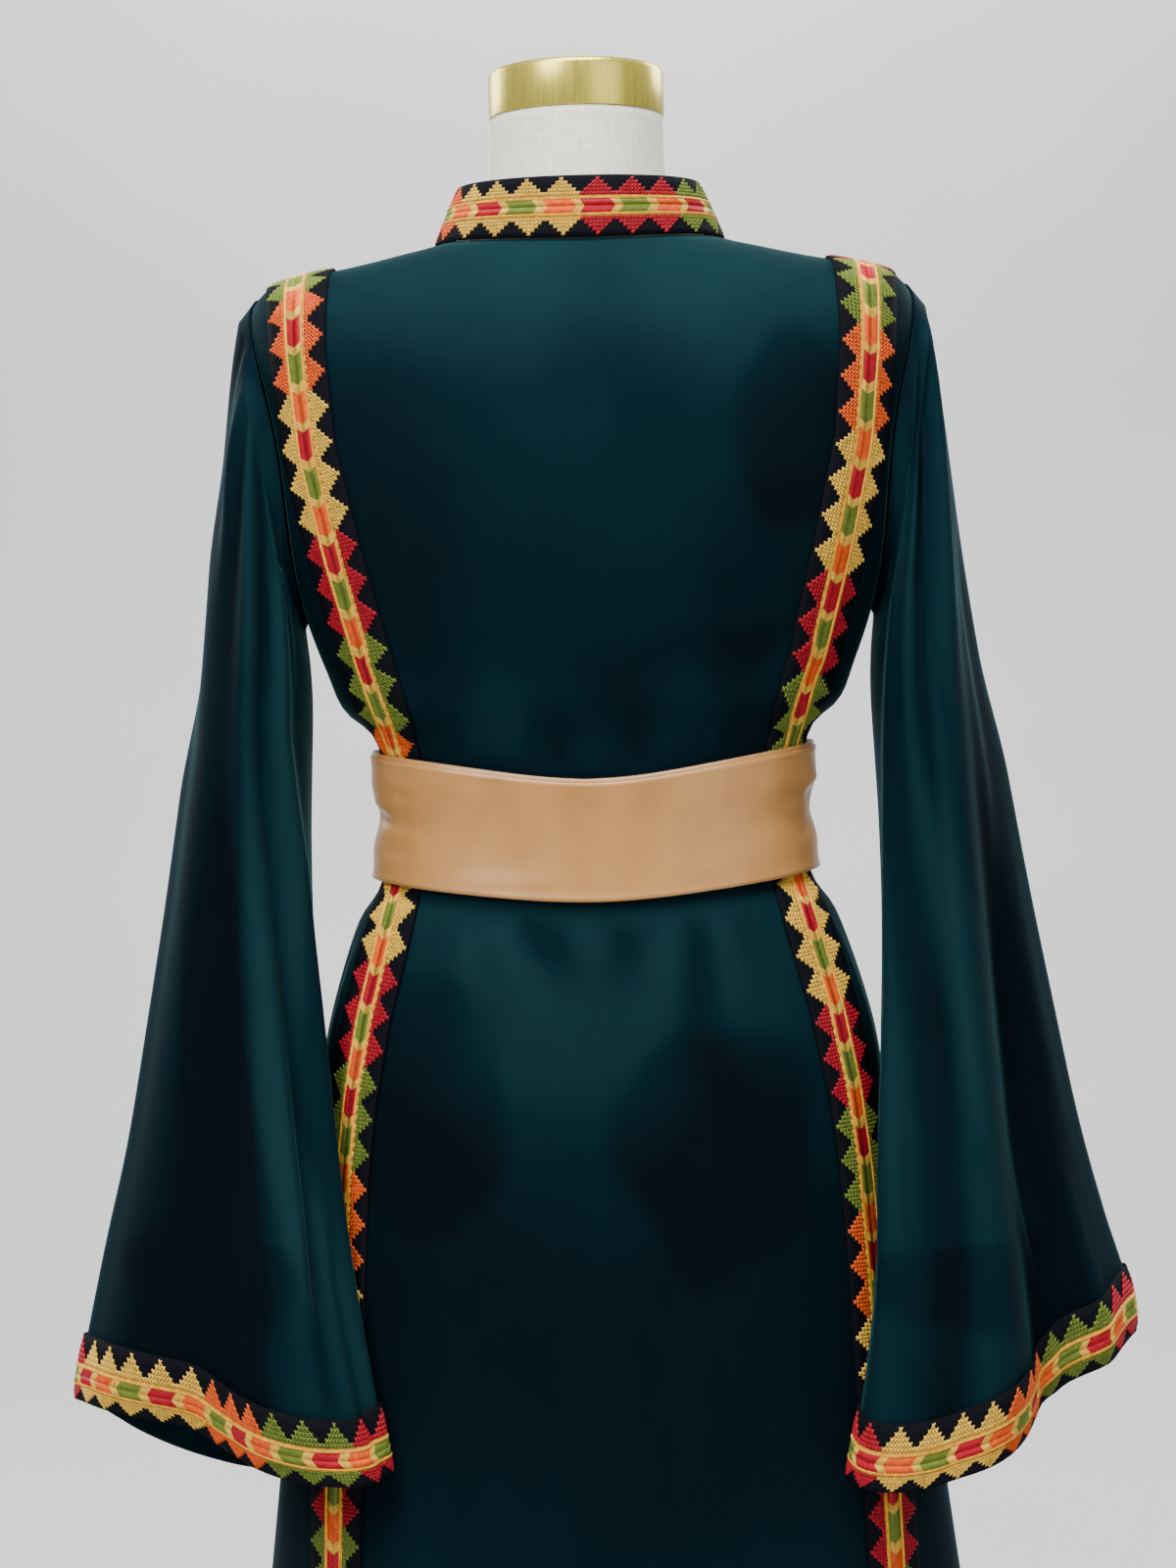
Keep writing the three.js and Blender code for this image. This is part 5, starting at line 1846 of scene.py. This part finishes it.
@dataclass
class DressForm:
    """Linen torso with a gilded cap, a pole and a round base."""

    finishes: Finishes
    sides: int = 96
    cap_radius: float = 58.0
    cap_height: float = 31.0
    cap_edge: float = 4.0
    base_radius: float = 185.0
    base_height: float = 14.0
    boss_radius: float = 34.0
    boss_height: float = 12.0
    pole_radius: float = 14.0
    segments: int = 128

    def torso(self) -> tuple[float, float]:
        """Builds the torso.

        Returns:
            Heights of its top and foot, in millimetres.
        """
        foot = level_index("form_foot")
        levels = np.concatenate([np.linspace(0, 4, 21)[:-1], np.linspace(4, foot, 90)])
        angle = np.linspace(0, 2 * np.pi, self.sides, endpoint=False)
        angles, rows = np.meshgrid(angle, levels)
        ease = np.maximum(table_rows(LEVEL_ROWS, rows)[..., 7], 0)
        radius, z = BODY.plain_ring(angles, rows)
        plain = np.stack([radius * np.cos(angles), radius * np.sin(angles), z], -1)
        normal = surface_normals(plain_point, angles, rows, 0.01, 0.02,
                                 np.stack([np.cos(angles), np.sin(angles), np.full(angles.shape, 0.2)], -1))
        grid = plain - normal * ease[..., None]
        grid[0, :, 2] = grid[0, 0, 2]
        grid[-1, :, 2] = grid[-1, 0, 2]
        obj = self.closed_rings("linen_torso", grid)
        obj.data.materials.append(self.finishes.linen)
        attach(obj, "root")
        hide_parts("form_torso")
        return float(grid[0, 0, 2]), float(grid[-1, 0, 2])

    def closed_rings(self, name: str, grid: Array) -> bpy.types.Object:
        """Makes a closed body from rings, with a flat fan at each end.

        Args:
            name: name of the piece.
            grid: points, rows by columns, from top to foot.

        Returns:
            The new object.
        """
        rows, columns = grid.shape[:2]
        points = np.concatenate([grid.reshape(-1, 3), grid[0].mean(0)[None], grid[-1].mean(0)[None]])
        row, column = np.meshgrid(np.arange(rows - 1), np.arange(columns), indexing="ij")
        after = (column + 1) % columns
        quads = np.stack([row * columns + column, (row + 1) * columns + column, (row + 1) * columns + after,
                          row * columns + after], -1).reshape(-1, 4)
        faces = [tuple(quad) for quad in quads]
        top, foot = rows * columns, rows * columns + 1
        last = (rows - 1) * columns
        for index in range(columns):
            following = (index + 1) % columns
            faces.append((top, index, following))
            faces.append((foot, last + following, last + index))
        obj = mesh_object(name, points, faces)
        flags = [True] * len(quads) + [False] * (2 * columns)
        obj.data.polygons.foreach_set("use_smooth", flags)
        return obj

    def cylinder(self, name: str, radius: float, start: float, height: float) -> bpy.types.Object:
        """Adds an upright cylinder on the middle line and opens it for editing.

        Args:
            name: name of the piece.
            radius: its radius.
            start: height of its foot.
            height: its own height.

        Returns:
            The new object, with its origin moved to the frame's.
        """
        bpy.ops.object.select_all(action="DESELECT")
        bpy.ops.mesh.primitive_cylinder_add(vertices=self.segments, radius=radius * MM, depth=height * MM,
                                            location=(0, 0, (start + height / 2) * MM))
        obj = bpy.context.object
        obj.name = obj.data.name = name
        bpy.ops.object.transform_apply(location=True, rotation=True, scale=True)
        bpy.ops.object.mode_set(mode="EDIT")
        return obj

    def pick(self, obj: bpy.types.Object, height: float, radius: float, faces: bool = False) -> None:
        """Selects the ring of edges, or the cap, at a height and radius.

        Args:
            obj: piece that is open for editing.
            height: height of the ring.
            radius: radius of the ring.
            faces: True to select the face inside the ring as well.
        """
        bpy.ops.mesh.select_mode(type="VERT")
        bpy.ops.mesh.select_all(action="DESELECT")
        bpy.ops.object.mode_set(mode="OBJECT")
        for vertex in obj.data.vertices:
            reach = math.hypot(vertex.co.x, vertex.co.y)
            vertex.select = abs(vertex.co.z - height * MM) < 1e-5 and abs(reach - radius * MM) < 1e-5
        bpy.ops.object.mode_set(mode="EDIT")
        bpy.ops.mesh.select_mode(type="FACE" if faces else "EDGE")

    def round_rim(self, obj: bpy.types.Object, height: float, radius: float, size: float, steps: int) -> None:
        """Rounds the ring of edges at a height and radius."""
        self.pick(obj, height, radius)
        bpy.ops.mesh.bevel(offset=size * MM, offset_type="OFFSET", segments=steps, affect="EDGES")

    def close(self, obj: bpy.types.Object, node: str, material: bpy.types.Material, slot: str) -> None:
        """Ends the editing of a piece and reports it.

        Args:
            obj: piece that is open for editing.
            node: CAD node that it stands for.
            material: its material.
            slot: not used.
        """
        bpy.ops.mesh.select_all(action="SELECT")
        bpy.ops.mesh.normals_make_consistent(inside=False)
        bpy.ops.object.mode_set(mode="OBJECT")
        obj.data.materials.append(material)
        bpy.ops.object.shade_smooth_by_angle(angle=math.radians(32))
        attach(obj, "root")
        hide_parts(node)
        LOG.info("%s: %d faces", obj.name, len(obj.data.polygons))

    def build_cap(self, start: float) -> None:
        """Builds the gilded cap of the neck, rounded above and slightly crowned.

        Args:
            start: height of its foot.
        """
        radius, head = self.cap_radius, start + self.cap_height
        cap = self.cylinder("gilded_cap", radius, start, self.cap_height)
        self.round_rim(cap, start, radius, 0.6, 2)
        self.round_rim(cap, head, radius, self.cap_edge, 7)
        self.pick(cap, head, radius - self.cap_edge, True)
        bpy.ops.mesh.inset(thickness=(radius - self.cap_edge - 8.0) * MM, depth=0.9 * MM)
        self.close(cap, "neck_cap", self.finishes.gold, "gold")

    def build_stand(self, foot: float) -> None:
        """Builds the round base with its boss, and the pole up to the torso.

        Args:
            foot: height of the torso's foot.
        """
        radius, height, boss = self.base_radius, self.base_height, self.boss_radius
        boss_top = height + self.boss_height
        base = self.cylinder("steel_base", radius, 0.0, height)
        self.pick(base, height, radius, True)
        bpy.ops.mesh.inset(thickness=(radius - boss) * MM, depth=0.0)
        self.pick(base, height, boss, True)
        bpy.ops.mesh.extrude_region_move(TRANSFORM_OT_translate={"value": (0, 0, self.boss_height * MM)})
        self.round_rim(base, 0.0, radius, 2.0, 2)
        self.round_rim(base, height, radius, 4.0, 5)
        self.round_rim(base, height, boss, 3.0, 4)
        self.round_rim(base, boss_top, boss, 2.0, 3)
        self.close(base, "stand_base", self.finishes.steel, "steel")
        start = boss_top + SEAM_GAP
        pole = self.cylinder("steel_pole", self.pole_radius, start, foot - SEAM_GAP - start)
        self.close(pole, "stand_pole", self.finishes.steel, "steel")

    def build(self) -> None:
        """Builds the form, its cap and its stand."""
        top, foot = self.torso()
        self.build_cap(top + SEAM_GAP)
        self.build_stand(foot)


def plain_point(angle: Array, level: Array) -> Array:
    """Returns points of the body's rings without folds, in millimetres."""
    radius, z = BODY.plain_ring(angle, level)
    return np.stack([radius * np.cos(angle), radius * np.sin(angle), z], -1)


@dataclass
class Studio:
    """Pale floor and backdrop, soft lights and the camera."""

    camera_place: tuple[float, float, float] = (-0.004, -2.092, 1.181)
    camera_pitch: float = 87.5
    camera_roll: float = 1.5
    lens: float = 72.0

    def floor(self) -> None:
        """Builds the floor, curved up into the backdrop."""
        bpy.ops.object.select_all(action="DESELECT")
        bpy.ops.mesh.primitive_grid_add(x_subdivisions=2, y_subdivisions=60, size=1.0, location=(0, 0, 0))
        obj = bpy.context.object
        obj.name = "studio_floor"
        for vertex in obj.data.vertices:
            share = vertex.co.y + 0.5
            flat, bend = 10.5, 2.0
            along = share * (flat + math.pi / 2 * bend + 6.0)
            vertex.co.x *= 24.0
            if along < flat:
                vertex.co.y, vertex.co.z = along - 5.0, 0.0
            elif along < flat + math.pi / 2 * bend:
                turn = (along - flat) / bend
                vertex.co.y, vertex.co.z = flat - 5.0 + bend * math.sin(turn), bend * (1 - math.cos(turn))
            else:
                vertex.co.y, vertex.co.z = flat - 5.0 + bend, bend + along - flat - math.pi / 2 * bend
        bpy.ops.object.shade_smooth()
        shader, surface = new_shader("studio_paper")
        tone = shader.noise(1.5, 1.0, (1.0, 1.0, 1.0))
        shader.link(shader.ramp(tone, ((0.3, linear(206, 206, 206)), (0.7, linear(210, 210, 209)))),
                    surface.inputs["Base Color"])
        surface.inputs["Roughness"].default_value = 0.9
        obj.data.materials.append(shader.material)

    def light(self, name: str, place: tuple[float, float, float], size: float, power: float,
              target: tuple[float, float, float] = (0.0, 0.0, 1.05)) -> None:
        """Adds a soft square light that faces a point.

        Args:
            name: name of the light.
            place: its place.
            size: length of its sides.
            power: its power in watts.
            target: point that it faces.
        """
        data = bpy.data.lights.new(name, "AREA")
        data.shape, data.size, data.energy = "SQUARE", size, power
        obj = bpy.data.objects.new(name, data)
        obj.location = place
        obj.rotation_euler = (Vector(target) - Vector(place)).to_track_quat("-Z", "Y").to_euler()
        bpy.context.scene.collection.objects.link(obj)

    def build(self) -> None:
        """Builds the studio and sets the camera."""
        self.floor()
        self.light("key", (-1.7, -2.6, 3.0), 1.6, 105.0)
        self.light("fill", (2.4, -3.0, 1.6), 2.6, 34.0)
        self.light("top", (0.0, -0.9, 3.3), 1.8, 120.0)
        self.light("rim", (2.0, 1.9, 2.6), 1.4, 64.0)
        self.light("rim_left", (-2.2, 1.8, 2.2), 1.4, 56.0)
        self.light("backdrop_wash", (0.0, 5.2, 4.8), 4.5, 420.0, (0.0, 7.5, 0.9))
        world = bpy.data.worlds.new("studio_air")
        world.use_nodes = True
        background = world.node_tree.nodes["Background"]
        background.inputs["Color"].default_value = (*linear(226, 228, 230), 1.0)
        background.inputs["Strength"].default_value = 0.34
        bpy.context.scene.world = world
        data = bpy.data.cameras.new("camera")
        data.lens, data.sensor_width, data.sensor_fit = self.lens, 36.0, "AUTO"
        camera = bpy.data.objects.new("camera", data)
        camera.location = self.camera_place
        camera.rotation_mode = "XYZ"
        camera.rotation_euler = (math.radians(self.camera_pitch), 0.0, 0.0)
        bpy.context.scene.collection.objects.link(camera)
        bpy.context.view_layer.update()
        camera.matrix_world = camera.matrix_world @ Matrix.Rotation(math.radians(-self.camera_roll), 4, "Z")
        bpy.context.scene.camera = camera


def main() -> None:
    """Builds every sub-assembly in order."""
    logging.basicConfig(level=logging.INFO, format="%(message)s")
    finishes = Finishes()
    DressForm(finishes).build()
    VelvetPanels(finishes).build()
    BodyBands(finishes).build()
    Sleeves(finishes).build()
    Collar(finishes).build()
    Belt(finishes).build()
    Studio().build()


if __name__ == "__main__":
    main()
